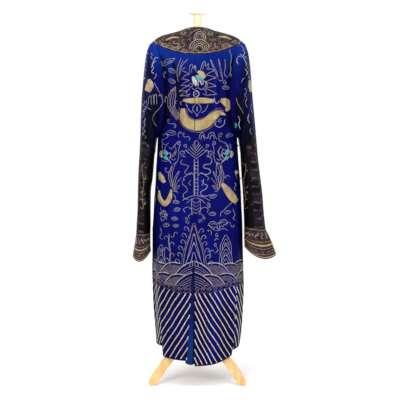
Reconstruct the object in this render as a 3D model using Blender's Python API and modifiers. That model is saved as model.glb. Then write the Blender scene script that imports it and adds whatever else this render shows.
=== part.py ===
"""A dragon robe worn by a limbless dress form on a wooden tripod, at real size.

Lengths are in metres. +Z is up, the robe's back faces -Y, and +X is the wearer's right.
Every shape is worked out round the stand's pole, and the whole model is then moved so
that the middle of its footprint box is the origin.
"""

import math
from collections import namedtuple

import bmesh
import bpy
from mathutils import Matrix, Vector

# Driving dimensions
WALL = 0.0016
CUFF_WALL = 0.0022
SEAM = 0.0009
LAYER = 0.0042
BACK_TOP = 1.378
FRONT_TOP = 1.360
ARMPIT = 1.035
SLIT_TOP = 0.597
SLIT_HEM_WIDTH = 0.032
SKIRT_LEVEL = 0.200
UPPER_ROWS = 9
MIDDLE_ROWS = 12
HEM_ROWS = 2
BACK_COLUMNS = 10
OUTER_COLUMNS = 18
UNDER_COLUMNS = 14
BOX_MIDDLE_X = 0.0300
BOX_MIDDLE_Y = 0.0462

# Body of the robe: half widths at the widest, depths behind and before the pole,
# and how far round from the centre back each side seam lies, in degrees
Body = namedtuple("Body", "height left right back front seam_left seam_right")
BODY = (
    Body(0.080, 0.170, 0.168, 0.136, 0.150, 58, 56),
    Body(0.130, 0.173, 0.177, 0.137, 0.149, 59, 56),
    Body(0.200, 0.177, 0.188, 0.138, 0.147, 60, 56),
    Body(0.300, 0.182, 0.195, 0.138, 0.145, 61, 56),
    Body(0.410, 0.186, 0.198, 0.137, 0.142, 62, 56),
    Body(0.500, 0.187, 0.195, 0.136, 0.140, 63, 56),
    Body(0.650, 0.185, 0.191, 0.132, 0.136, 64, 58),
    Body(0.780, 0.180, 0.185, 0.126, 0.131, 69, 63),
    Body(0.900, 0.175, 0.177, 0.119, 0.128, 76, 73),
    Body(0.970, 0.171, 0.171, 0.115, 0.129, 83, 81),
    Body(1.035, 0.168, 0.168, 0.114, 0.134, 90, 90),
    Body(1.150, 0.168, 0.168, 0.119, 0.143, 90, 90),
    Body(1.250, 0.168, 0.168, 0.123, 0.138, 90, 90),
    Body(1.330, 0.168, 0.168, 0.119, 0.118, 90, 90),
    Body(1.378, 0.168, 0.168, 0.112, 0.100, 90, 90),
)

# Armhole: turn is 0 at the shoulder point and 180 at the armpit
Armhole = namedtuple("Armhole", "turn out deep height")
ARMHOLE = (
    Armhole(0, 0.182, 0.000, 1.441),
    Armhole(18, 0.173, 0.034, 1.425),
    Armhole(45, 0.156, 0.066, 1.377),
    Armhole(70, 0.141, 0.085, 1.302),
    Armhole(95, 0.134, 0.092, 1.215),
    Armhole(120, 0.138, 0.084, 1.138),
    Armhole(150, 0.155, 0.051, 1.064),
    Armhole(180, 0.168, 0.000, 1.035),
)
SHOULDER_CORNER = 18
CHEST_FLATNESS = 0.6

# Sleeve sections: the outermost and innermost points, the half depth, how far the
# front and back of the section are pulled in over the body, and the depth of the
# long crease down the sleeve. The first section is the armhole itself.
Sleeve = namedtuple("Sleeve", "station out_x out_z in_x in_z deep pull crease")
SLEEVES = {
    "left": (
        Sleeve(1, 0.200, 1.425, 0.1790, 1.028, 0.107, 0.034, 0.000),
        Sleeve(2, 0.213, 1.392, 0.1795, 1.014, 0.114, 0.033, 0.000),
        Sleeve(3, 0.2215, 1.340, 0.1798, 1.000, 0.116, 0.031, 0.002),
        Sleeve(4, 0.228, 1.275, 0.1800, 0.988, 0.111, 0.027, 0.004),
        Sleeve(5, 0.235, 1.200, 0.1800, 0.979, 0.103, 0.023, 0.005),
        Sleeve(6, 0.239, 1.120, 0.1795, 0.971, 0.095, 0.018, 0.006),
        Sleeve(7, 0.2415, 1.045, 0.1815, 0.963, 0.087, 0.012, 0.007),
        Sleeve(8, 0.245, 0.970, 0.1845, 0.925, 0.079, 0.006, 0.008),
        Sleeve(9, 0.250, 0.895, 0.1890, 0.870, 0.071, 0.002, 0.009),
        Sleeve(10, 0.2525, 0.820, 0.1980, 0.805, 0.064, 0.000, 0.009),
        Sleeve(11, 0.2545, 0.740, 0.1990, 0.730, 0.060, 0.000, 0.009),
        Sleeve(12, 0.258, 0.680, 0.1990, 0.675, 0.058, 0.000, 0.007),
        Sleeve(13, 0.261, 0.632, 0.2000, 0.634, 0.059, 0.000, 0.005),
        Sleeve(14, 0.266, 0.590, 0.2010, 0.600, 0.064, 0.000, 0.004),
        Sleeve(15, 0.272, 0.560, 0.2005, 0.575, 0.069, 0.000, 0.002),
        Sleeve(16, 0.276, 0.532, 0.1990, 0.552, 0.074, 0.000, 0.000),
    ),
    "right": (
        Sleeve(1, 0.200, 1.425, 0.1790, 1.028, 0.107, 0.034, 0.000),
        Sleeve(2, 0.213, 1.388, 0.1795, 1.014, 0.113, 0.032, 0.000),
        Sleeve(3, 0.221, 1.335, 0.1798, 1.000, 0.115, 0.030, 0.002),
        Sleeve(4, 0.227, 1.270, 0.1800, 0.992, 0.111, 0.026, 0.004),
        Sleeve(5, 0.232, 1.205, 0.1800, 0.985, 0.104, 0.022, 0.005),
        Sleeve(6, 0.239, 1.135, 0.1800, 0.978, 0.097, 0.016, 0.006),
        Sleeve(7, 0.247, 1.050, 0.1810, 0.970, 0.089, 0.009, 0.007),
        Sleeve(8, 0.254, 0.970, 0.1830, 0.930, 0.080, 0.003, 0.009),
        Sleeve(9, 0.264, 0.885, 0.1870, 0.870, 0.072, 0.000, 0.010),
        Sleeve(10, 0.276, 0.790, 0.1930, 0.790, 0.064, 0.000, 0.011),
        Sleeve(11, 0.281, 0.725, 0.1960, 0.725, 0.061, 0.000, 0.010),
        Sleeve(12, 0.286, 0.680, 0.1975, 0.685, 0.060, 0.000, 0.008),
        Sleeve(13, 0.290, 0.650, 0.1980, 0.660, 0.061, 0.000, 0.006),
        Sleeve(14, 0.308, 0.612, 0.1985, 0.625, 0.066, 0.000, 0.004),
        Sleeve(15, 0.323, 0.574, 0.1995, 0.597, 0.072, 0.000, 0.002),
        Sleeve(16, 0.336, 0.540, 0.2005, 0.570, 0.078, 0.000, 0.000),
    ),
}
UPPER_SLEEVE_END = 7
LOWER_SLEEVE_END = 13
CUFF_END = 16
HOOF_DROP = 0.024
CREASE_TURN = {"left": -72, "right": -98}
CREASE_SPREAD = 20

# Cross folds of the sleeves, where the cloth breaks over the missing arm
SleeveFold = namedtuple("SleeveFold", "side station turn spread reach depth")
SLEEVE_FOLDS = (
    SleeveFold("left", 3.2, -60, 0.40, 60, 0.006),
    SleeveFold("left", 4.6, -85, 0.35, 55, -0.007),
    SleeveFold("left", 5.9, -110, 0.40, 60, 0.006),
    SleeveFold("left", 8.6, -90, 0.35, 80, -0.004),
    SleeveFold("left", 11.0, -70, 0.40, 80, 0.003),
    SleeveFold("left", 4.4, 90, 0.45, 60, -0.006),
    SleeveFold("left", 6.2, 75, 0.40, 60, 0.005),
    SleeveFold("right", 3.4, -70, 0.40, 60, 0.006),
    SleeveFold("right", 4.9, -95, 0.40, 50, -0.008),
    SleeveFold("right", 5.8, -80, 0.40, 60, 0.007),
    SleeveFold("right", 8.3, -90, 0.40, 80, -0.004),
    SleeveFold("right", 10.7, -80, 0.40, 80, 0.003),
    SleeveFold("right", 4.7, 95, 0.45, 60, -0.006),
    SleeveFold("right", 6.3, 75, 0.40, 60, 0.005),
)

# Long folds of the body: where they lie round the body, in degrees from the centre
# back, the heights they run between, their spread in degrees, and their depth
Fold = namedtuple("Fold", "turn top bottom spread depth")
FOLDS = (
    Fold(-66, 1.36, 1.12, 9, 0.006),
    Fold(-50, 1.36, 1.15, 7, -0.005),
    Fold(-36, 1.37, 1.02, 8, -0.007),
    Fold(-26, 1.37, 1.10, 6, 0.004),
    Fold(24, 1.37, 1.13, 8, -0.004),
    Fold(42, 1.37, 1.06, 7, 0.005),
    Fold(54, 1.36, 1.12, 7, -0.006),
    Fold(68, 1.36, 1.10, 8, 0.005),
    Fold(-40, 0.62, 0.10, 11, -0.005),
    Fold(-20, 0.52, 0.05, 12, 0.004),
    Fold(22, 0.58, 0.05, 13, 0.005),
    Fold(43, 0.50, 0.06, 9, -0.005),
    Fold(-78, 0.80, 0.10, 8, -0.006),
    Fold(-95, 0.90, 0.12, 9, 0.005),
    Fold(-125, 0.95, 0.12, 11, -0.010),
    Fold(-148, 0.98, 0.12, 10, 0.008),
    Fold(172, 0.95, 0.12, 12, -0.009),
    Fold(146, 0.98, 0.12, 11, 0.009),
    Fold(118, 0.95, 0.12, 10, -0.008),
    Fold(72, 0.78, 0.12, 7, -0.004),
)

# Lower edge of each panel, by how far round the body
Hem = namedtuple("Hem", "turn height")
HEM_BACK_LEFT = (Hem(-64, 0.115), Hem(-40, 0.111), Hem(-20, 0.109), Hem(0, 0.108))
HEM_BACK_RIGHT = (Hem(-6, 0.088), Hem(15, 0.090), Hem(35, 0.100), Hem(50, 0.114), Hem(60, 0.125))
HEM_FRONT = (Hem(55, 0.134), Hem(90, 0.142), Hem(130, 0.148), Hem(180, 0.150), Hem(230, 0.152), Hem(300, 0.158))

# The centre back seam, and the free edge of the outer front, which closes to the right
SeamLine = namedtuple("SeamLine", "height x")
CENTRE_SEAM = (SeamLine(0.08, -0.0125), SeamLine(0.60, -0.0135), SeamLine(0.95, -0.012), SeamLine(1.40, -0.008))
Overlap = namedtuple("Overlap", "height turn")
OVERLAP_EDGE = (
    Overlap(0.10, 108),
    Overlap(0.90, 108),
    Overlap(1.035, 110),
    Overlap(1.12, 115),
    Overlap(1.20, 123),
    Overlap(1.27, 137),
    Overlap(1.31, 152),
    Overlap(1.335, 166),
    Overlap(1.36, 177.5),
)
UNDER_EDGE = 190
UNDER_HIDES_BELOW = 1.320

# Yoke collar: the ring round the neck, and how it rises there
NECK_HALF_WIDTH = 0.055
NECK_BACK = 0.055
NECK_FRONT = 0.066
NECK_HEIGHT_BACK = 1.494
NECK_HEIGHT_SIDE = 1.487
NECK_HEIGHT_FRONT = 1.452
YOKE_TIP = 12
YOKE_SPLIT = 0.6
YOKE_REACHES = (0.0, 0.18, 0.38, 0.60, 0.82, 0.998)

# Dress form below the shoulders
Torso = namedtuple("Torso", "height half_width back front")
TORSO = (
    Torso(0.748, 0.140, 0.094, 0.092),
    Torso(0.760, 0.148, 0.100, 0.097),
    Torso(0.820, 0.152, 0.102, 0.100),
    Torso(0.900, 0.145, 0.094, 0.096),
    Torso(0.990, 0.126, 0.080, 0.090),
    Torso(1.080, 0.133, 0.083, 0.102),
    Torso(1.170, 0.147, 0.090, 0.118),
    Torso(1.250, 0.157, 0.094, 0.114),
    Torso(1.330, 0.165, 0.090, 0.090),
    Torso(1.385, 0.169, 0.078, 0.070),
    Torso(1.420, 0.170, 0.062, 0.052),
)
SHOULDER_CLEARANCE = 0.0010
SHOULDER_STEPS = (0.82, 0.60, 0.38, 0.18, 0.03)
NECK_STUMP_RADIUS = 0.046
NECK_STUMP_TOP = 1.4780

# Stand
TOUCH = 0.0003
CAP_RADIUS = 0.0465
CAP_THICKNESS = 0.009
FINIAL_RADIUS = 0.0165
FINIAL_DISC_RADIUS = 0.034
FINIAL_DISC_THICKNESS = 0.006
STAND_TOP = 1.555
BASE_THICKNESS = 0.010
POLE_RADIUS = 0.0125
HUB_RADIUS = 0.030
HUB_TOP = 0.250
HUB_BOTTOM = 0.125
LEG_THICKNESS = 0.020
LEG_WIDTH = 0.042
LEG_TURNS = (90, 210, 330)
FOOT_REACH = 0.232
FOOT_FLAT = 0.016

# Knot closures down the free edge of the outer front
Closure = namedtuple("Closure", "name height clear")
CLOSURES = (
    Closure("collarbone", 1.290, 0.0001),
    Closure("chest", 1.205, 0.0001),
    Closure("underarm", 1.000, 0.0007),
    Closure("waist", 0.860, 0.0002),
)
CORD_RADIUS = 0.0022
KNOT_RADIUS = 0.0060
STRAP_LENGTH = 0.034

COLOURS = {
    "blue": (0.012, 0.020, 0.260, 1.0),
    "lining": (0.010, 0.090, 0.420, 1.0),
    "dark": (0.030, 0.020, 0.040, 1.0),
    "collar": (0.060, 0.035, 0.045, 1.0),
    "linen": (0.850, 0.820, 0.720, 1.0),
    "beech": (0.900, 0.620, 0.320, 1.0),
    "steel": (0.620, 0.620, 0.640, 1.0),
    "brass": (0.750, 0.560, 0.230, 1.0),
}


class Profile:
    """A smooth curve through two columns of a table, level past its ends."""

    def __init__(self, table, key, value):
        rows = sorted((getattr(row, key), getattr(row, value)) for row in table)
        self.keys = [row[0] for row in rows]
        self.values = [row[1] for row in rows]
        steps = [
            (self.values[i + 1] - self.values[i]) / (self.keys[i + 1] - self.keys[i])
            for i in range(len(rows) - 1)
        ]
        self.slopes = [steps[0]]
        for before, after in zip(steps, steps[1:]):
            same_way = before * after > 0
            self.slopes.append(2 * before * after / (before + after) if same_way else 0.0)
        self.slopes.append(steps[-1])

    def __call__(self, at):
        at = min(max(at, self.keys[0]), self.keys[-1])
        i = 0
        while i < len(self.keys) - 2 and at > self.keys[i + 1]:
            i += 1
        span = self.keys[i + 1] - self.keys[i]
        t = (at - self.keys[i]) / span
        start = (1 + 2 * t) * (1 - t) ** 2 * self.values[i]
        end = t * t * (3 - 2 * t) * self.values[i + 1]
        leave = t * (1 - t) ** 2 * span * self.slopes[i]
        arrive = t * t * (t - 1) * span * self.slopes[i + 1]
        return start + end + leave + arrive


HALF_WIDTH = {"left": Profile(BODY, "height", "left"), "right": Profile(BODY, "height", "right")}
BACK_DEPTH = Profile(BODY, "height", "back")
FRONT_DEPTH = Profile(BODY, "height", "front")
SIDE_SEAM = {
    "left": Profile(BODY, "height", "seam_left"),
    "right": Profile(BODY, "height", "seam_right"),
}
ARM_OUT = Profile(ARMHOLE, "turn", "out")
ARM_DEEP = Profile(ARMHOLE, "turn", "deep")
ARM_HEIGHT = Profile(ARMHOLE, "turn", "height")
SLEEVE_PROFILES = {
    side: {name: Profile(table, "station", name) for name in Sleeve._fields[1:]}
    for side, table in SLEEVES.items()
}
CENTRE_X = Profile(CENTRE_SEAM, "height", "x")
OVERLAP_TURN = Profile(OVERLAP_EDGE, "height", "turn")


def smoothstep(t):
    """0 to 1 with level ends."""
    t = min(max(t, 0.0), 1.0)
    return t * t * (3 - 2 * t)


def steps(start, end, count):
    """count + 1 evenly spaced values."""
    return [start + (end - start) * i / count for i in range(count + 1)]


def wrapped(turn):
    """A turn round the body as -180 to 180."""
    return turn - 360 if turn > 180 else turn


def armhole_point(side_sign, turn):
    """A point of the armhole, behind the shoulder where turn is negative."""
    away = abs(turn)
    deep = math.copysign(ARM_DEEP(away), turn)
    return Vector((side_sign * ARM_OUT(away), deep, ARM_HEIGHT(away)))


def share_across(height, away):
    """How far out across the robe a turn lies: the panels are drawn flatter at the chest."""
    round_share = math.sin(math.radians(away))
    flat_share = min(away, 180 - away) / 90
    flat = CHEST_FLATNESS * smoothstep((height - ARMPIT) / 0.12)
    return round_share * (1 - flat) + flat_share * flat


def plain_body_point(height, turn):
    """The body's surface with no folds. height is taken on its centre line."""
    turn = wrapped(turn)
    sign = 1 if turn >= 0 else -1
    side = "right" if sign > 0 else "left"
    away = abs(turn)
    behind = away <= 90
    depth = -BACK_DEPTH(height) if behind else FRONT_DEPTH(height)
    if height > ARMPIT:
        top = BACK_TOP if behind else FRONT_TOP
        share = (top - height) / (top - ARMPIT)
        arm_turn = SHOULDER_CORNER + (180 - SHOULDER_CORNER) * share
        edge = armhole_point(sign, -arm_turn if behind else arm_turn)
    else:
        edge = Vector((sign * HALF_WIDTH[side](height), 0.0, height))
    along = abs(math.cos(math.radians(away)))
    return Vector((
        edge.x * share_across(height, away),
        edge.y + (depth - edge.y) * along,
        edge.z + (height - edge.z) * along,
    ))


def fold_depth(height, turn):
    """How far the folds lift the cloth at a place on the body."""
    turn = wrapped(turn)
    total = 0.0
    for fold in FOLDS:
        off = abs(turn - fold.turn)
        off = min(off, 360 - off)
        if off > 3 * fold.spread:
            continue
        run = 0.35 * (fold.top - fold.bottom)
        ends = smoothstep((fold.top - height) / run) * smoothstep((height - fold.bottom) / run)
        total += fold.depth * ends * math.exp(-((off / fold.spread) ** 2))
    return total


def edge_fade(height, turn):
    """0 along the armholes, the yoke's edge and the side seams, and 1 inside the panels."""
    away = abs(wrapped(turn))
    top = BACK_TOP if away <= 90 else FRONT_TOP
    from_top = smoothstep((top - height) / 0.05)
    if height > ARMPIT:
        return from_top * smoothstep(abs(90 - away) / 16)
    side = "right" if wrapped(turn) >= 0 else "left"
    return smoothstep(abs(SIDE_SEAM[side](height) - away) / 9)


def body_point(height, turn, lift=0.0):
    """The robe's outer surface with its folds, moved out by lift."""
    here = plain_body_point(height, turn)
    step_turn, step_height = 0.5, 0.002
    round_it = plain_body_point(height, turn + step_turn) - plain_body_point(height, turn - step_turn)
    below = max(height - step_height, BODY[0].height)
    down = plain_body_point(below, turn) - plain_body_point(below + 2 * step_height, turn)
    normal = down.cross(round_it).normalized()
    if normal.dot(Vector((here.x, here.y, 0.0))) < 0:
        normal.negate()
    return here + normal * (fold_depth(height, turn) * edge_fade(height, turn) + lift)


def sleeve_point(side, station, turn, lift=0.0):
    """The sleeve's outer surface. turn is 0 on the outer side and 180 on the inner."""
    sign = 1 if side == "right" else -1
    column = SLEEVE_PROFILES[side]
    at = max(station, 1.0)
    row = {name: profile(at) for name, profile in column.items()}
    cosine, sine = math.cos(math.radians(turn)), math.sin(math.radians(turn))
    middle_x, middle_z = (row["out_x"] + row["in_x"]) / 2, (row["out_z"] + row["in_z"]) / 2
    reach_x, reach_z = (row["out_x"] - row["in_x"]) / 2, (row["out_z"] - row["in_z"]) / 2
    off = (turn - CREASE_TURN[side]) / CREASE_SPREAD
    dent = row["crease"] * math.exp(-off * off)
    for fold in SLEEVE_FOLDS:
        if fold.side == side:
            along = (station - fold.station) / fold.spread
            around = (turn - fold.turn) / fold.reach
            dent -= fold.depth * math.exp(-along * along - around * around)
    size = 1 - dent / row["deep"] + lift / row["deep"]
    hoof = HOOF_DROP * smoothstep((station - LOWER_SLEEVE_END) / 3) * abs(sine) ** 2
    ring = Vector((
        sign * (middle_x + reach_x * cosine * (1 + lift / 0.035) - row["pull"] * sine * sine),
        row["deep"] * sine * size,
        middle_z + reach_z * cosine - hoof,
    ))
    if station >= 1.0:
        return ring
    return armhole_point(sign, turn).lerp(ring, station)


def yoke_edge(turn):
    """The yoke's outer edge, which meets the back, the sleeves and the fronts."""
    turn = wrapped(turn)
    sign = 1 if turn >= 0 else -1
    away = abs(turn)
    if away < 90 - YOKE_TIP:
        return plain_body_point(BACK_TOP, sign * away * 90 / (90 - YOKE_TIP))
    if away > 90 + YOKE_TIP:
        return plain_body_point(FRONT_TOP, sign * (180 - (180 - away) * 90 / (90 - YOKE_TIP)))
    return armhole_point(sign, (away - 90) / YOKE_TIP * SHOULDER_CORNER)


def yoke_point(turn, reach):
    """The yoke's surface: reach is 0 at the neck and 1 at the outer edge."""
    turn = wrapped(turn)
    angle = math.radians(turn)
    straight = math.cos(angle)
    level = straight * straight
    depth = NECK_BACK if straight > 0 else NECK_FRONT
    end_height = NECK_HEIGHT_BACK if straight > 0 else NECK_HEIGHT_FRONT
    neck = Vector((
        NECK_HALF_WIDTH * math.sin(angle),
        -depth * straight,
        NECK_HEIGHT_SIDE + (end_height - NECK_HEIGHT_SIDE) * level,
    ))
    edge = yoke_edge(turn)
    over_shoulder = 0.72 * reach + 0.28 * reach**8
    drop = (1 - level) * over_shoulder + level * reach**1.5
    point = neck.lerp(edge, reach)
    point.z = neck.z + (edge.z - neck.z) * drop
    return point


def yoke_normal(turn, reach):
    """The yoke's upward normal."""
    around = yoke_point(turn + 1, reach) - yoke_point(turn - 1, reach)
    outward = yoke_point(turn, min(reach + 0.02, 1.0)) - yoke_point(turn, max(reach - 0.02, 0.0))
    normal = around.cross(outward).normalized()
    return normal if normal.z > 0 else -normal


def material(name):
    """The piece's own material, by colour name."""
    made = bpy.data.materials.new(name)
    made.use_nodes = True
    shader = made.node_tree.nodes["Principled BSDF"]
    shader.inputs["Base Color"].default_value = COLOURS[name]
    shader.inputs["Roughness"].default_value = {"steel": 0.3, "brass": 0.35, "beech": 0.45}.get(name, 0.7)
    shader.inputs["Metallic"].default_value = 1.0 if name in ("steel", "brass") else 0.0
    return made


def add_object(name, data, colour, stand):
    """An object of the stand's, with its material."""
    made = bpy.data.objects.new(name, data)
    data.materials.append(material(colour))
    made.parent = stand
    stand.users_collection[0].objects.link(made)
    return made


def cloth(name, rows, colour, stand, closed=False, wall=WALL, inside=None):
    """A wall of cloth through rows of points, thickened towards its inside."""
    shape = bmesh.new()
    lines = [[shape.verts.new(point) for point in row] for row in rows]
    for upper, lower in zip(lines, lines[1:]):
        count = len(upper)
        for i in range(count if closed else count - 1):
            j = (i + 1) % count
            shape.faces.new((upper[i], upper[j], lower[j], lower[i]))
    shape.normal_update()
    centre = inside or (lambda p: Vector((0.0, 0.0, p.z)))
    facing = sum(
        face.normal.dot(face.calc_center_median() - centre(face.calc_center_median()))
        for face in shape.faces
    )
    if facing < 0:
        bmesh.ops.reverse_faces(shape, faces=shape.faces)
    mesh = bpy.data.meshes.new(name)
    shape.to_mesh(mesh)
    shape.free()
    mesh.shade_smooth()
    made = add_object(name, mesh, colour, stand)
    thick = made.modifiers.new("thickness", "SOLIDIFY")
    thick.thickness = wall
    thick.offset = -1.0
    return made


def solid_rings(name, rings, colour, stand):
    """A closed solid through rings of points, with flat ends."""
    shape = bmesh.new()
    lines = [[shape.verts.new(point) for point in ring] for ring in rings]
    for upper, lower in zip(lines, lines[1:]):
        count = len(upper)
        for i in range(count):
            j = (i + 1) % count
            shape.faces.new((upper[i], upper[j], lower[j], lower[i]))
    shape.faces.new(lines[0])
    shape.faces.new(lines[-1])
    bmesh.ops.recalc_face_normals(shape, faces=shape.faces)
    mesh = bpy.data.meshes.new(name)
    shape.to_mesh(mesh)
    shape.free()
    mesh.shade_smooth()
    return add_object(name, mesh, colour, stand)


def turned(name, profile, colour, stand, sides=32):
    """A turned solid: profile is (radius, height) pairs from the top axis point down."""
    mesh = bpy.data.meshes.new(name)
    points = [(radius, 0.0, height) for radius, height in profile]
    mesh.from_pydata(points, [(i, i + 1) for i in range(len(points) - 1)], [])
    made = add_object(name, mesh, colour, stand)
    spin = made.modifiers.new("turning", "SCREW")
    spin.steps = spin.render_steps = sides
    spin.use_merge_vertices = True
    spin.merge_threshold = 0.00005
    return made


def centre_turn(height, x):
    """The turn at which the back's surface has this x, near its centre."""
    half = abs(plain_body_point(height, math.copysign(90, x)).x)
    low, high = 0.0, 90.0
    for _ in range(24):
        middle = (low + high) / 2
        if share_across(height, middle) < abs(x) / half:
            low = middle
        else:
            high = middle
    return math.copysign(low, x)


def slit_left_x(height):
    """The left back's free edge beside the slit."""
    share = max(SLIT_TOP - height, 0.0) / (SLIT_TOP - HEM_BACK_LEFT[-1].height)
    return CENTRE_X(height) - SLIT_HEM_WIDTH * share


def panel_rows(top, hem_of):
    """The rows of a panel: for each, its height as a function of the turn.

    Rows above the armpit meet the armhole where the sleeve has its own points, and the
    rows between the armpit and the skirt lie level all round the robe.
    """
    rows = []
    for level in steps(top, ARMPIT, UPPER_ROWS)[:-1]:
        rows.append(lambda turn, level=level: min(level, top - SEAM))
    for level in steps(ARMPIT, SKIRT_LEVEL, MIDDLE_ROWS):
        rows.append(lambda turn, level=level: level)
    for share in steps(0.0, 1.0, HEM_ROWS)[1:]:
        rows.append(lambda turn, share=share: SKIRT_LEVEL + (hem_of(turn) - SKIRT_LEVEL) * share)
    return rows


def panel_points(height_of, start_of, end_of, shares, lift_of):
    """One row of a panel, from its first edge to its last."""
    row = []
    for share in shares:
        height = SKIRT_LEVEL
        for _ in range(3):
            start, end = start_of(height), end_of(height)
            turn = start + (end - start) * share
            height = height_of(turn)
        start, end = start_of(height), end_of(height)
        row.append(body_point(height, start + (end - start) * share, lift_of(height, share)))
    return row


def seam_gap_turn(height):
    """The seam's half gap, as a turn round the body: wider where the armhole folds in."""
    return math.degrees(SEAM / 2 / 0.15) + 0.35 * smoothstep((height - ARMPIT) / 0.03)


def back_start(side, height):
    """The turn of a half back's edge at the centre seam or the slit."""
    if side == "left":
        return centre_turn(height, slit_left_x(height) - SEAM / 2)
    return centre_turn(height, CENTRE_X(height) + SEAM / 2)


def back_end(side, height):
    """The turn of a half back's edge at the side."""
    sign = -1 if side == "left" else 1
    return sign * (SIDE_SEAM[side](height) - seam_gap_turn(height))


def outer_start(height):
    """The turn of the outer front's edge at the left side."""
    return 360 - SIDE_SEAM["left"](height) - seam_gap_turn(height)


def under_start(height):
    """The turn of the under front's edge at the right side."""
    return SIDE_SEAM["right"](height) + seam_gap_turn(height)


def under_end(height):
    """The turn of the under front's free edge, which butts the outer front at the neck."""
    hidden = smoothstep((UNDER_HIDES_BELOW - height) / 0.05)
    return (OVERLAP_TURN(height) - 1.0) * (1 - hidden) + UNDER_EDGE * hidden


def below_yoke(rows):
    """The same rows with the first drawn clear of the yoke's edge."""
    rows[0] = [first.lerp(second, 0.008) for first, second in zip(rows[0], rows[1])]
    return rows


def no_lift(height, share):
    """For a panel that nothing lies under."""
    return 0.0


def outer_lift(height, share):
    """The outer front rises over the under front as it nears its free edge."""
    return LAYER * smoothstep(share / 0.3) * smoothstep((FRONT_TOP - height) / 0.03)


def make_back(stand):
    """The two halves of the back, joined down the centre as far as the slit."""
    for side in ("left", "right"):
        hem = Profile(HEM_BACK_LEFT if side == "left" else HEM_BACK_RIGHT, "turn", "height")
        rows = [
            panel_points(
                height_of,
                lambda height: back_start(side, height),
                lambda height: back_end(side, height),
                steps(0.0, 1.0, BACK_COLUMNS),
                no_lift,
            )
            for height_of in panel_rows(BACK_TOP, hem)
        ]
        cloth("back_" + side, below_yoke(rows), "blue", stand)


def make_slit_facing(stand):
    """The plain silk strip that shows in the slit, behind both halves of the back."""
    rows = []
    for height in steps(SLIT_TOP - 0.030, 0.100, 12):
        left = slit_left_x(height) - 0.006
        right = CENTRE_X(height) + 0.004
        turns = [centre_turn(height, x) for x in steps(left, right, 4)]
        rows.append([body_point(height, turn, -(WALL + 0.0009)) for turn in turns])
    for column, drop in ((1, 0.004), (2, 0.008), (3, 0.005)):
        rows[-1][column].z -= drop
    cloth("slit_facing", rows, "lining", stand, wall=0.0015)


def make_fronts(stand):
    """The outer front, which closes to the right, and the under front behind it."""
    hem = Profile(HEM_FRONT, "turn", "height")
    outer = [
        panel_points(height_of, outer_start, OVERLAP_TURN, steps(0.0, 1.0, OUTER_COLUMNS), outer_lift)
        for height_of in panel_rows(FRONT_TOP, hem)
    ]
    cloth("front_outer", below_yoke(outer), "blue", stand)
    under = [
        panel_points(height_of, under_start, under_end, steps(0.0, 1.0, UNDER_COLUMNS), no_lift)
        for height_of in panel_rows(FRONT_TOP, lambda turn: hem(turn) + 0.008)
    ]
    cloth("front_under", below_yoke(under), "blue", stand)


def sleeve_middle(side):
    """For a point on a sleeve, the middle of the sleeve level with it."""
    sign = 1 if side == "right" else -1
    column = SLEEVE_PROFILES[side]

    def middle(point):
        """The point of the sleeve's own axis beside this one."""
        best = min(
            steps(1.0, float(CUFF_END), 60),
            key=lambda s: abs((column["out_z"](s) + column["in_z"](s)) / 2 - point.z),
        )
        x = sign * (column["out_x"](best) + column["in_x"](best)) / 2
        return Vector((x, 0.0, point.z))

    return middle


def make_sleeves(stand):
    """The upper sleeves, the ribbed dark lower sleeves and the hoof-shaped cuffs."""
    half = steps(SHOULDER_CORNER, 180, UPPER_ROWS)
    turns = [-turn for turn in reversed(half)] + [0] + half[:-1]
    pieces = (
        ("upper_sleeve", 0.035, UPPER_SLEEVE_END - 0.007, 9, "blue", WALL),
        ("lower_sleeve", UPPER_SLEEVE_END + 0.016, LOWER_SLEEVE_END - 0.010, 8, "dark", WALL),
        ("cuff", LOWER_SLEEVE_END + 0.010, CUFF_END, 4, "collar", CUFF_WALL),
    )
    for side in ("left", "right"):
        for name, first, last, count, colour, wall in pieces:
            rows = [[sleeve_point(side, s, turn) for turn in turns] for s in steps(first, last, count)]
            cloth(f"{name}_{side}", rows, colour, stand, True, wall, sleeve_middle(side))


def yoke_turns():
    """Turns of the yoke whose outer ends lie at the points of the panels' top rows."""
    def shown(turn):
        """The yoke's turn that meets a panel's turn."""
        sign = 1 if turn >= 0 else -1
        away = abs(turn)
        near = away if away <= 90 else 180 - away
        scaled = near * (90 - YOKE_TIP) / 90
        return sign * (scaled if away <= 90 else 180 - scaled)

    back_top, front_top = BACK_TOP - SEAM, FRONT_TOP - SEAM
    turns = [180 - YOKE_SPLIT]
    for share in steps(1.0, 0.0, UNDER_COLUMNS):
        start, end = under_start(front_top), under_end(front_top)
        turns.append(shown(start + (end - start) * share))
    turns.append(90)
    for share in steps(1.0, 0.0, BACK_COLUMNS)[:-1]:
        start, end = back_start("right", back_top), back_end("right", back_top)
        turns.append(shown(start + (end - start) * share))
    for share in steps(0.0, 1.0, BACK_COLUMNS):
        start, end = back_start("left", back_top), back_end("left", back_top)
        turns.append(shown(start + (end - start) * share))
    turns.append(-90)
    for share in steps(0.0, 1.0, OUTER_COLUMNS)[:-1]:
        start, end = outer_start(front_top), OVERLAP_TURN(front_top)
        turn = start + (end - start) * share - 360
        if turn > -178:
            turns.append(shown(turn))
    turns.append(-180 + YOKE_SPLIT)
    return turns


def make_yoke(stand):
    """The broad yoke collar, split at the centre front."""
    rows = [[yoke_point(turn, reach) for turn in yoke_turns()] for reach in YOKE_REACHES]
    cloth("yoke_collar", rows, "collar", stand, inside=lambda p: Vector((p.x * 0.5, p.y * 0.5, 1.2)))


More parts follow.
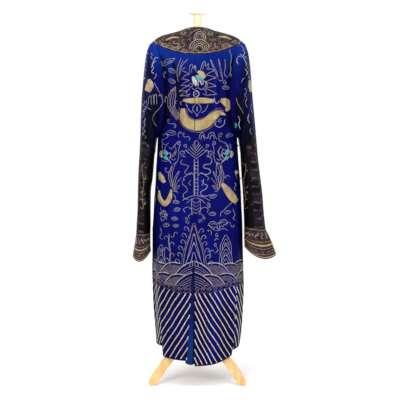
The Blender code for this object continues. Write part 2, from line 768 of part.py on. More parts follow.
def make_form(stand):
    """The limbless torso, its wooden neck cap and turned finial, and the base below it."""
    around = 36
    turns = [360 * i / around for i in range(around)]
    rings = []
    for row in TORSO:
        ring = []
        for turn in turns:
            angle = math.radians(turn)
            depth = row.back if math.cos(angle) > 0 else row.front
            ring.append(Vector((row.half_width * math.sin(angle), -depth * math.cos(angle), row.height)))
        rings.append(ring)
    for reach in SHOULDER_STEPS:
        ring = []
        for turn in turns:
            straight = abs(math.cos(math.radians(turn)))
            clear = SHOULDER_CLEARANCE + 0.016 * straight**1.5 * min(1.0, reach * 1.6)
            point = yoke_point(turn, reach) - yoke_normal(turn, reach) * (WALL + clear)
            point.z = min(point.z, NECK_STUMP_TOP - 0.001)
            ring.append(point)
        rings.append(ring)
    neck = [
        Vector((NECK_STUMP_RADIUS * math.sin(math.radians(t)), -NECK_STUMP_RADIUS * math.cos(math.radians(t)), NECK_STUMP_TOP))
        for t in turns
    ]
    rings.append(neck)
    solid_rings("form_torso", rings, "linen", stand)
    base_top = TORSO[0].height - TOUCH
    base = [
        [Vector((p.x * scale, p.y * scale, z)) for p in rings[0]]
        for scale, z in ((0.94, base_top), (0.96, base_top - 0.002), (0.96, base_top - BASE_THICKNESS))
    ]
    solid_rings("form_base", base, "beech", stand)
    cap_bottom = NECK_STUMP_TOP + TOUCH
    cap_top = cap_bottom + CAP_THICKNESS
    turned(
        "neck_cap",
        ((0, cap_top), (CAP_RADIUS - 0.003, cap_top), (CAP_RADIUS, cap_top - 0.003), (CAP_RADIUS, cap_bottom), (0, cap_bottom)),
        "beech",
        stand,
    )
    disc_low = STAND_TOP - FINIAL_DISC_THICKNESS
    turned(
        "finial",
        (
            (0, STAND_TOP),
            (FINIAL_DISC_RADIUS - 0.0015, STAND_TOP),
            (FINIAL_DISC_RADIUS, STAND_TOP - 0.0015),
            (FINIAL_DISC_RADIUS, disc_low + 0.0015),
            (FINIAL_DISC_RADIUS - 0.003, disc_low),
            (FINIAL_RADIUS + 0.002, disc_low - 0.002),
            (FINIAL_RADIUS, disc_low - 0.006),
            (FINIAL_RADIUS, cap_top + TOUCH),
            (0, cap_top + TOUCH),
        ),
        "beech",
        stand,
    )
    return base_top - BASE_THICKNESS


def leg_outline():
    """The leg's side view as (distance from the pole, height) points, foot flat on the floor."""
    upper = (
        (HUB_RADIUS + TOUCH, 0.196),
        (0.070, 0.184),
        (0.108, 0.155),
        (0.140, 0.124),
        (0.168, 0.097),
        (0.198, 0.063),
        (0.220, 0.034),
        (0.2285, 0.018),
    )
    lower = (
        (0.196, 0.013),
        (0.176, 0.037),
        (0.146, 0.072),
        (0.112, 0.105),
        (0.078, 0.134),
        (0.050, 0.148),
        (HUB_RADIUS + TOUCH, 0.152),
    )
    toe = FOOT_REACH
    foot = ((toe - 0.001, 0.008), (toe - 0.0045, 0.0015), (toe - 0.008, 0.0), (toe - 0.008 - FOOT_FLAT, 0.0), (toe - 0.029, 0.004))
    return upper + foot + lower


def make_stand(stand, pole_top):
    """The pole, the hub and the three curved legs."""
    hub_profile = (
        (0, HUB_TOP),
        (0.021, HUB_TOP),
        (0.0235, HUB_TOP - 0.004),
        (0.0235, HUB_TOP - 0.020),
        (HUB_RADIUS, HUB_TOP - 0.030),
        (HUB_RADIUS, HUB_BOTTOM + 0.012),
        (0.020, HUB_BOTTOM),
        (0, HUB_BOTTOM),
    )
    turned("hub", hub_profile, "beech", stand, 36)
    length = pole_top - TOUCH - (HUB_TOP + TOUCH)
    bpy.ops.mesh.primitive_cylinder_add(
        vertices=24,
        radius=POLE_RADIUS,
        depth=length,
        location=(0, 0, HUB_TOP + TOUCH + length / 2),
    )
    pole = bpy.context.object
    pole.name = "pole"
    pole.data.materials.append(material("steel"))
    pole.data.set_sharp_from_angle(angle=math.radians(40))
    for owner in list(pole.users_collection):
        owner.objects.unlink(pole)
    stand.users_collection[0].objects.link(pole)
    pole.parent = stand
    outline = leg_outline()
    for number, turn in enumerate(LEG_TURNS):
        curve = bpy.data.curves.new(f"leg_{number + 1}", "CURVE")
        curve.dimensions = "2D"
        curve.fill_mode = "BOTH"
        curve.extrude = LEG_THICKNESS / 2
        spline = curve.splines.new("POLY")
        spline.points.add(len(outline) - 1)
        for point, (reach, height) in zip(spline.points, outline):
            point.co = (reach, height, 0.0, 1.0)
        spline.use_cyclic_u = True
        leg = add_object(f"leg_{number + 1}", curve, "beech", stand)
        upright = Matrix.Rotation(math.radians(90), 4, "X")
        leg.matrix_local = Matrix.Rotation(math.radians(turn), 4, "Z") @ upright


def cord_solid(name, path, radii, colour, stand, sides=6):
    """A closed cord of changing thickness along a path of points and their normals."""
    rings = []
    for i, (point, normal) in enumerate(path):
        before = path[max(i - 1, 0)][0]
        after = path[min(i + 1, len(path) - 1)][0]
        ahead = (after - before).normalized()
        across = ahead.cross(normal).normalized()
        up = across.cross(ahead).normalized()
        ring = [
            point + (across * math.cos(2 * math.pi * k / sides) + up * math.sin(2 * math.pi * k / sides)) * radii[i]
            for k in range(sides)
        ]
        rings.append(ring)
    solid_rings(name, rings, colour, stand)


def surface_place(height, turn, along, lift):
    """A point over the front at this distance round from a place, with its normal."""
    at = turn + math.degrees(along / 0.13)
    point = body_point(height, at, lift)
    return point, (body_point(height, at, lift + 0.01) - point).normalized()


def make_closures(stand):
    """Knot buttons on the under front, and their loops on the outer front."""
    for closure in CLOSURES:
        edge = OVERLAP_TURN(closure.height)
        ball_lift = LAYER + KNOT_RADIUS + 0.0008
        knot = (
            (-0.030, CORD_RADIUS + closure.clear, CORD_RADIUS),
            (-0.020, CORD_RADIUS + closure.clear, CORD_RADIUS),
            (-0.010, CORD_RADIUS + closure.clear + 0.0003, CORD_RADIUS),
            (-0.005, ball_lift - 0.0030, 0.0034),
            (-0.002, ball_lift - 0.0006, 0.0052),
            (0.001, ball_lift, KNOT_RADIUS),
            (0.004, ball_lift, 0.0052),
            (0.0065, ball_lift, 0.0022),
        )
        path = [surface_place(closure.height, edge, along, lift) for along, lift, _ in knot]
        cord_solid(f"knot_{closure.name}", path, [row[2] for row in knot], "brass", stand)
        strap_lift = LAYER + CORD_RADIUS + closure.clear
        strap = [
            surface_place(closure.height, edge, along, strap_lift)
            for along in steps(0.0085, 0.0085 + STRAP_LENGTH, 3)
        ]
        cord_solid(f"loop_{closure.name}", strap, [CORD_RADIUS] * len(strap), "blue", stand)


def main():
    """Builds the robe and the form that it is worn by."""
    for old in list(bpy.data.objects):
        bpy.data.objects.remove(old)
    collection = bpy.data.collections.new("dragon_robe")
    bpy.context.scene.collection.children.link(collection)
    stand = bpy.data.objects.new("stand_axis", None)
    stand.location = (-BOX_MIDDLE_X, -BOX_MIDDLE_Y, 0.0)
    collection.objects.link(stand)
    make_back(stand)
    make_slit_facing(stand)
    make_fronts(stand)
    make_sleeves(stand)
    make_yoke(stand)
    pole_top = make_form(stand)
    make_stand(stand, pole_top)
    make_closures(stand)


main()
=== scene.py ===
"""A dragon robe on a limbless dress form: its cloth, couched embroidery and finishes.

Everything is in metres. The robe's back faces -Y and +X is the wearer's right. The cloth is
worked out round the stand's pole and then moved to the frame's own origin.
"""

import logging
import math
from dataclasses import dataclass
from enum import Enum
from typing import Callable, NamedTuple, Sequence

import bpy
import numpy as np
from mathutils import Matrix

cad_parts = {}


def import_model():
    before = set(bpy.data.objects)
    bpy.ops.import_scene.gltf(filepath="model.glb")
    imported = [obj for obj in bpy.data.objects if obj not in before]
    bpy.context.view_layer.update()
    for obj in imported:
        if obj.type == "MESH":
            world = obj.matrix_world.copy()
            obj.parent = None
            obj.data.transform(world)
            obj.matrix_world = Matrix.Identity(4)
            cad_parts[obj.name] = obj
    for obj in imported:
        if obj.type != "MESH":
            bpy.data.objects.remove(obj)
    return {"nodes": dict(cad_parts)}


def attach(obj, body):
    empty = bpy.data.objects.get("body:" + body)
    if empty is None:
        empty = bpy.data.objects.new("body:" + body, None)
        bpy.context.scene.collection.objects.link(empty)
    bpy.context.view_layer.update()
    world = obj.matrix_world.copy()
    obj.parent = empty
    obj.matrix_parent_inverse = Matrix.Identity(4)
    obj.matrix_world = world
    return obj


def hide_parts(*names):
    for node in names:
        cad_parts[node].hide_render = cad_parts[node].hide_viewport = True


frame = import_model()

logging.basicConfig(level=logging.INFO, format="%(message)s")
log = logging.getLogger("dragon_robe")

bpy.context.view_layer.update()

Array = np.ndarray
Line = Array
Surface = Callable[[Array, Array, Array | float], Array]

POLE_X = -0.0300
POLE_Y = -0.0462
MM = 0.001

BACK_TOP = 1.378
FRONT_TOP = 1.360
ARMPIT = 1.035
SLIT_TOP = 0.597
SLIT_HEM_WIDTH = 0.032
SKIRT_LEVEL = 0.200
SEAM = 0.0009
LAYER = 0.0042
CLOTH = 0.0011


class Body(NamedTuple):
    """Half widths, depths behind and before the pole, and the side seams' turns, at a height."""

    height: float
    left: float
    right: float
    back: float
    front: float
    seam_left: float
    seam_right: float


BODY = (
    Body(0.080, 0.170, 0.168, 0.136, 0.150, 58, 56),
    Body(0.130, 0.173, 0.177, 0.137, 0.149, 59, 56),
    Body(0.200, 0.177, 0.188, 0.138, 0.147, 60, 56),
    Body(0.300, 0.182, 0.195, 0.138, 0.145, 61, 56),
    Body(0.410, 0.186, 0.198, 0.137, 0.142, 62, 56),
    Body(0.500, 0.187, 0.195, 0.136, 0.140, 63, 56),
    Body(0.650, 0.185, 0.191, 0.132, 0.136, 64, 58),
    Body(0.780, 0.180, 0.185, 0.126, 0.131, 69, 63),
    Body(0.900, 0.175, 0.177, 0.119, 0.128, 76, 73),
    Body(0.970, 0.171, 0.171, 0.115, 0.129, 83, 81),
    Body(1.035, 0.168, 0.168, 0.114, 0.134, 90, 90),
    Body(1.150, 0.168, 0.168, 0.119, 0.143, 90, 90),
    Body(1.250, 0.168, 0.168, 0.123, 0.138, 90, 90),
    Body(1.330, 0.168, 0.168, 0.119, 0.118, 90, 90),
    Body(1.378, 0.168, 0.168, 0.112, 0.100, 90, 90),
)


class Armhole(NamedTuple):
    """A place on the armhole: turn is 0 at the shoulder point and 180 at the armpit."""

    turn: float
    out: float
    deep: float
    height: float


ARMHOLE = (
    Armhole(0, 0.182, 0.000, 1.441),
    Armhole(18, 0.173, 0.034, 1.425),
    Armhole(45, 0.156, 0.066, 1.377),
    Armhole(70, 0.141, 0.085, 1.302),
    Armhole(95, 0.134, 0.092, 1.215),
    Armhole(120, 0.138, 0.084, 1.138),
    Armhole(150, 0.155, 0.051, 1.064),
    Armhole(180, 0.168, 0.000, 1.035),
)
SHOULDER_CORNER = 18
CHEST_FLATNESS = 0.6


class Section(NamedTuple):
    """A sleeve section: its outer and inner points, half depth, pull over the body and crease."""

    station: float
    out_x: float
    out_z: float
    in_x: float
    in_z: float
    deep: float
    pull: float
    crease: float


LEFT_SECTIONS = (
    Section(1, 0.200, 1.425, 0.1790, 1.028, 0.107, 0.034, 0.000),
    Section(2, 0.213, 1.392, 0.1795, 1.014, 0.114, 0.033, 0.000),
    Section(3, 0.2215, 1.340, 0.1798, 1.000, 0.116, 0.031, 0.002),
    Section(4, 0.228, 1.275, 0.1800, 0.988, 0.111, 0.027, 0.004),
    Section(5, 0.235, 1.200, 0.1800, 0.979, 0.103, 0.023, 0.005),
    Section(6, 0.239, 1.120, 0.1795, 0.971, 0.095, 0.018, 0.006),
    Section(7, 0.2415, 1.045, 0.1815, 0.963, 0.087, 0.012, 0.007),
    Section(8, 0.245, 0.970, 0.1845, 0.925, 0.079, 0.006, 0.008),
    Section(9, 0.250, 0.895, 0.1890, 0.870, 0.071, 0.002, 0.009),
    Section(10, 0.2525, 0.820, 0.1980, 0.805, 0.064, 0.000, 0.009),
    Section(11, 0.2545, 0.740, 0.1990, 0.730, 0.060, 0.000, 0.009),
    Section(12, 0.258, 0.680, 0.1990, 0.675, 0.058, 0.000, 0.007),
    Section(13, 0.261, 0.632, 0.2000, 0.634, 0.059, 0.000, 0.005),
    Section(14, 0.266, 0.590, 0.2010, 0.600, 0.064, 0.000, 0.004),
    Section(15, 0.272, 0.560, 0.2005, 0.575, 0.069, 0.000, 0.002),
    Section(16, 0.276, 0.532, 0.1990, 0.552, 0.074, 0.000, 0.000),
)
RIGHT_SECTIONS = (
    Section(1, 0.200, 1.425, 0.1790, 1.028, 0.107, 0.034, 0.000),
    Section(2, 0.213, 1.388, 0.1795, 1.014, 0.113, 0.032, 0.000),
    Section(3, 0.221, 1.335, 0.1798, 1.000, 0.115, 0.030, 0.002),
    Section(4, 0.227, 1.270, 0.1800, 0.992, 0.111, 0.026, 0.004),
    Section(5, 0.232, 1.205, 0.1800, 0.985, 0.104, 0.022, 0.005),
    Section(6, 0.239, 1.135, 0.1800, 0.978, 0.097, 0.016, 0.006),
    Section(7, 0.247, 1.050, 0.1810, 0.970, 0.089, 0.009, 0.007),
    Section(8, 0.254, 0.970, 0.1830, 0.930, 0.080, 0.003, 0.009),
    Section(9, 0.264, 0.885, 0.1870, 0.870, 0.072, 0.000, 0.010),
    Section(10, 0.276, 0.790, 0.1930, 0.790, 0.064, 0.000, 0.011),
    Section(11, 0.281, 0.725, 0.1960, 0.725, 0.061, 0.000, 0.010),
    Section(12, 0.286, 0.680, 0.1975, 0.685, 0.060, 0.000, 0.008),
    Section(13, 0.290, 0.650, 0.1980, 0.660, 0.061, 0.000, 0.006),
    Section(14, 0.308, 0.612, 0.1985, 0.625, 0.066, 0.000, 0.004),
    Section(15, 0.323, 0.574, 0.1995, 0.597, 0.072, 0.000, 0.002),
    Section(16, 0.336, 0.540, 0.2005, 0.570, 0.078, 0.000, 0.000),
)
UPPER_SLEEVE_END = 7
LOWER_SLEEVE_END = 13
CUFF_END = 16
HOOF_DROP = 0.024
CREASE_TURN = {"left": -72, "right": -98}
CREASE_SPREAD = 20


class CrossFold(NamedTuple):
    """A fold across a sleeve, where the cloth breaks over the missing arm."""

    station: float
    turn: float
    spread: float
    reach: float
    depth: float


CROSS_FOLDS = {
    "left": (
        CrossFold(3.2, -60, 0.40, 60, 0.006),
        CrossFold(4.6, -85, 0.35, 55, -0.007),
        CrossFold(5.9, -110, 0.40, 60, 0.006),
        CrossFold(8.6, -90, 0.35, 80, -0.004),
        CrossFold(11.0, -70, 0.40, 80, 0.003),
        CrossFold(4.4, 90, 0.45, 60, -0.006),
        CrossFold(6.2, 75, 0.40, 60, 0.005),
    ),
    "right": (
        CrossFold(3.4, -70, 0.40, 60, 0.006),
        CrossFold(4.9, -95, 0.40, 50, -0.008),
        CrossFold(5.8, -80, 0.40, 60, 0.007),
        CrossFold(8.3, -90, 0.40, 80, -0.004),
        CrossFold(10.7, -80, 0.40, 80, 0.003),
        CrossFold(4.7, 95, 0.45, 60, -0.006),
        CrossFold(6.3, 75, 0.40, 60, 0.005),
    ),
}


class Fold(NamedTuple):
    """A long fold of the body: its turn, top, bottom, spread in degrees and depth."""

    turn: float
    top: float
    bottom: float
    spread: float
    depth: float


FOLDS = (
    Fold(-66, 1.36, 1.12, 9, 0.006),
    Fold(-50, 1.36, 1.15, 7, -0.005),
    Fold(-36, 1.37, 1.02, 8, -0.007),
    Fold(-26, 1.37, 1.10, 6, 0.004),
    Fold(24, 1.37, 1.13, 8, -0.004),
    Fold(42, 1.37, 1.06, 7, 0.005),
    Fold(54, 1.36, 1.12, 7, -0.006),
    Fold(68, 1.36, 1.10, 8, 0.005),
    Fold(-40, 0.62, 0.10, 11, -0.005),
    Fold(-20, 0.52, 0.05, 12, 0.004),
    Fold(22, 0.58, 0.05, 13, 0.005),
    Fold(43, 0.50, 0.06, 9, -0.005),
    Fold(-78, 0.80, 0.10, 8, -0.006),
    Fold(-95, 0.90, 0.12, 9, 0.005),
    Fold(-125, 0.95, 0.12, 11, -0.010),
    Fold(-148, 0.98, 0.12, 10, 0.008),
    Fold(172, 0.95, 0.12, 12, -0.009),
    Fold(146, 0.98, 0.12, 11, 0.009),
    Fold(118, 0.95, 0.12, 10, -0.008),
    Fold(72, 0.78, 0.12, 7, -0.004),
)


class Crease(NamedTuple):
    """A soft crease: a line from one (turn, height or station) to another, its width and depth."""

    turn_a: float
    at_a: float
    turn_b: float
    at_b: float
    width: float
    depth: float


BODY_CREASES = (
    Crease(50, 1.365, 46, 1.175, 0.0055, -0.0034),
    Crease(56, 1.350, 57, 1.130, 0.0060, 0.0030),
    Crease(38, 1.372, 42, 1.210, 0.0060, 0.0022),
    Crease(63, 1.330, 66, 1.160, 0.0050, -0.0030),
    Crease(80, 1.060, 52, 1.150, 0.0070, -0.0028),
    Crease(82, 1.020, 50, 1.040, 0.0080, -0.0024),
    Crease(78, 0.990, 46, 0.900, 0.0090, 0.0022),
    Crease(-52, 1.365, -47, 1.120, 0.0055, -0.0036),
    Crease(-60, 1.340, -66, 1.130, 0.0055, 0.0028),
    Crease(-42, 1.372, -40, 1.190, 0.0060, 0.0024),
    Crease(-72, 1.310, -70, 1.150, 0.0050, -0.0030),
    Crease(-80, 1.060, -50, 1.130, 0.0070, -0.0028),
    Crease(-82, 1.010, -48, 0.985, 0.0080, -0.0024),
    Crease(-76, 0.980, -52, 0.860, 0.0090, 0.0020),
    Crease(-30, 1.120, -20, 0.930, 0.0100, -0.0016),
    Crease(26, 1.080, 30, 0.880, 0.0110, -0.0015),
    Crease(-34, 0.800, -44, 0.620, 0.0110, 0.0016),
    Crease(34, 0.760, 40, 0.600, 0.0110, 0.0016),
    Crease(-52, 0.560, -50, 0.180, 0.0080, -0.0026),
    Crease(-30, 0.480, -31, 0.140, 0.0090, 0.0020),
    Crease(-10, 0.420, -12, 0.130, 0.0080, -0.0018),
    Crease(12, 0.440, 10, 0.120, 0.0080, -0.0020),
    Crease(32, 0.500, 34, 0.140, 0.0090, -0.0024),
    Crease(51, 0.440, 52, 0.160, 0.0080, 0.0022),
    Crease(150, 1.330, 128, 1.120, 0.0080, -0.0030),
    Crease(-150, 1.330, -132, 1.110, 0.0080, -0.0030),
    Crease(162, 1.250, 150, 0.980, 0.0100, 0.0022),
    Crease(-164, 1.240, -152, 0.980, 0.0100, 0.0022),
    Crease(100, 1.060, 132, 1.140, 0.0080, -0.0030),
    Crease(-100, 1.060, -130, 1.150, 0.0080, -0.0030),
    Crease(-104, 1.020, -132, 1.000, 0.0090, -0.0026),
    Crease(104, 1.000, 130, 0.960, 0.0090, -0.0026),
    Crease(-112, 0.900, -110, 0.300, 0.0090, 0.0026),
    Crease(-138, 0.860, -136, 0.200, 0.0100, -0.0028),
    Crease(-162, 0.900, -164, 0.180, 0.0090, 0.0026),
    Crease(160, 0.860, 158, 0.170, 0.0090, -0.0028),
    Crease(134, 0.900, 131, 0.200, 0.0100, 0.0024),
    Crease(96, 0.760, 92, 0.200, 0.0090, -0.0024),
    Crease(-86, 0.700, -85, 0.200, 0.0080, -0.0022),
)
SLEEVE_CREASES = {
    "left": (
        Crease(-25, 2.0, -78, 3.6, 0.0080, -0.0035),
        Crease(-20, 3.1, -95, 4.2, 0.0070, 0.0030),
        Crease(-35, 4.3, -120, 4.9, 0.0070, -0.0036),
        Crease(-60, 5.2, -140, 5.4, 0.0080, 0.0030),
        Crease(-30, 5.7, -110, 6.4, 0.0070, -0.0032),
        Crease(-100, 3.0, -150, 5.0, 0.0070, -0.0030),
        Crease(-20, 7.6, -100, 8.1, 0.0060, -0.0030),
        Crease(-60, 8.6, -130, 9.4, 0.0060, 0.0026),
        Crease(-25, 9.3, -90, 9.9, 0.0060, -0.0028),
        Crease(-80, 10.2, -150, 10.8, 0.0060, 0.0024),
        Crease(-30, 11.2, -110, 11.6, 0.0060, -0.0026),
        Crease(-50, 12.2, -120, 12.5, 0.0060, 0.0022),
        Crease(30, 2.6, 100, 4.0, 0.0080, -0.0034),
        Crease(40, 4.2, 130, 5.2, 0.0080, 0.0030),
        Crease(30, 5.6, 120, 6.3, 0.0080, -0.0030),
        Crease(40, 8.0, 120, 8.8, 0.0060, -0.0028),
        Crease(40, 9.8, 120, 10.6, 0.0060, 0.0026),
        Crease(30, 11.4, 110, 12.0, 0.0060, -0.0024),
    ),
    "right": (
        Crease(-30, 2.1, -80, 3.7, 0.0080, -0.0034),
        Crease(-22, 3.2, -100, 4.3, 0.0070, 0.0030),
        Crease(-40, 4.5, -128, 5.0, 0.0070, -0.0040),
        Crease(-30, 5.2, -110, 5.6, 0.0070, 0.0034),
        Crease(-40, 5.9, -120, 6.5, 0.0070, -0.0034),
        Crease(-110, 3.1, -150, 5.1, 0.0070, -0.0032),
        Crease(-25, 7.7, -105, 8.0, 0.0060, -0.0030),
        Crease(-60, 8.7, -125, 9.2, 0.0060, 0.0026),
        Crease(-30, 9.4, -100, 10.0, 0.0060, -0.0028),
        Crease(-85, 10.3, -150, 10.9, 0.0060, 0.0024),
        Crease(-30, 11.1, -115, 11.7, 0.0060, -0.0026),
        Crease(-50, 12.1, -125, 12.6, 0.0060, 0.0022),
        Crease(30, 2.5, 100, 3.9, 0.0080, -0.0034),
        Crease(40, 4.3, 130, 5.1, 0.0080, 0.0030),
        Crease(30, 5.5, 120, 6.4, 0.0080, -0.0030),
        Crease(40, 8.1, 120, 8.7, 0.0060, -0.0028),
        Crease(40, 9.7, 120, 10.5, 0.0060, 0.0026),
        Crease(30, 11.3, 110, 12.1, 0.0060, -0.0024),
    ),
}


class Hem(NamedTuple):
    """The lower edge's height at a turn."""

    turn: float
    height: float


HEM_BACK_LEFT = (Hem(-64, 0.115), Hem(-40, 0.111), Hem(-20, 0.109), Hem(0, 0.108))
HEM_BACK_RIGHT = (Hem(-6, 0.088), Hem(15, 0.090), Hem(35, 0.100), Hem(50, 0.114), Hem(60, 0.125))
HEM_FRONT = (
    Hem(55, 0.134), Hem(90, 0.142), Hem(130, 0.148), Hem(180, 0.150), Hem(230, 0.152), Hem(300, 0.158)
)


class SeamLine(NamedTuple):
    """The centre seam's x at a height."""

    height: float
    x: float


CENTRE_SEAM = (
    SeamLine(0.08, -0.0125), SeamLine(0.60, -0.0135), SeamLine(0.95, -0.012), SeamLine(1.40, -0.008)
)


class Overlap(NamedTuple):
    """The turn of the outer front's free edge at a height."""

    height: float
    turn: float


OVERLAP_EDGE = (
    Overlap(0.10, 108),
    Overlap(0.90, 108),
    Overlap(1.035, 110),
    Overlap(1.12, 115),
    Overlap(1.20, 123),
    Overlap(1.27, 137),
    Overlap(1.31, 152),
    Overlap(1.335, 166),
    Overlap(1.36, 177.5),
)
UNDER_EDGE = 190
UNDER_HIDES_BELOW = 1.320

NECK_HALF_WIDTH = 0.055
NECK_BACK = 0.055
NECK_FRONT = 0.066
NECK_HEIGHT_BACK = 1.494
NECK_HEIGHT_SIDE = 1.487
NECK_HEIGHT_FRONT = 1.452
YOKE_TIP = 12
YOKE_SPLIT = 0.6
YOKE_SWELL = 0.0006
YOKE_RIM = 0.2
SEEN_SHIFT = -0.0100
REGION_TURN = 150


class Curve:
    """A smooth curve through two columns of a table, level past its ends."""

    def __init__(self, table: Sequence, key: str, value: str) -> None:
        """Fits the curve.

        Args:
            table: the rows, as named tuples.
            key: the column that the curve runs along.
            value: the column that it gives.
        """
        rows = sorted((getattr(row, key), getattr(row, value)) for row in table)
        self.keys = np.array([row[0] for row in rows], float)
        self.values = np.array([row[1] for row in rows], float)
        steps = np.diff(self.values) / np.diff(self.keys)
        before, after = steps[:-1], steps[1:]
        same_way = before * after > 0
        total = np.where(same_way, before + after, 1.0)
        inner = np.where(same_way, 2 * before * after / total, 0.0)
        self.slopes = np.concatenate((steps[:1], inner, steps[-1:]))

    def __call__(self, at: Array | float) -> Array:
        """The curve's value at one or many places."""
        at = np.clip(np.asarray(at, float), self.keys[0], self.keys[-1])
        i = np.clip(np.searchsorted(self.keys, at, side="left") - 1, 0, len(self.keys) - 2)
        span = self.keys[i + 1] - self.keys[i]
        t = (at - self.keys[i]) / span
        start = (1 + 2 * t) * (1 - t) ** 2 * self.values[i]
        end = t * t * (3 - 2 * t) * self.values[i + 1]
        leave = t * (1 - t) ** 2 * span * self.slopes[i]
        arrive = t * t * (t - 1) * span * self.slopes[i + 1]
        return start + end + leave + arrive


def smoothstep(t: Array | float) -> Array:
    """0 to 1 with level ends."""
    t = np.clip(t, 0.0, 1.0)
    return t * t * (3 - 2 * t)


def wrapped(turn: Array | float) -> Array:
    """A turn round the body as -180 to 180."""
    return (np.asarray(turn, float) + 180.0) % 360.0 - 180.0


def unit(vectors: Array) -> Array:
    """The vectors at length 1."""
    return vectors / np.maximum(np.linalg.norm(vectors, axis=-1, keepdims=True), 1e-12)


def creases(turn: Array, at: Array, table: Sequence[Crease], round_scale: float, down_scale: float) -> Array:
    """How far a table of creases lifts the cloth.

    Args:
        turn: turns of the places.
        at: their heights or stations.
        table: the creases.
        round_scale: metres for each degree round.
        down_scale: metres for each unit of height or station.

    Returns:
        The lift at each place, in metres.
    """
    total = np.zeros(np.broadcast(turn, at).shape)
    for crease in table:
        ahead = np.array(
            [(crease.turn_b - crease.turn_a) * round_scale, (crease.at_b - crease.at_a) * down_scale]
        )
        length = float(np.hypot(*ahead))
        ahead /= length
        u = wrapped(turn - crease.turn_a) * round_scale
        v = (at - crease.at_a) * down_scale
        along = (u * ahead[0] + v * ahead[1]) / length
        across = u * ahead[1] - v * ahead[0]
        across = across + 0.25 * crease.width * np.sin(along * 7.0 + crease.turn_a)
        ends = smoothstep(np.minimum(along + 0.12, 1.12 - along) / 0.38)
        total = total + crease.depth * ends * np.exp(-((across / crease.width) ** 2))
    return total


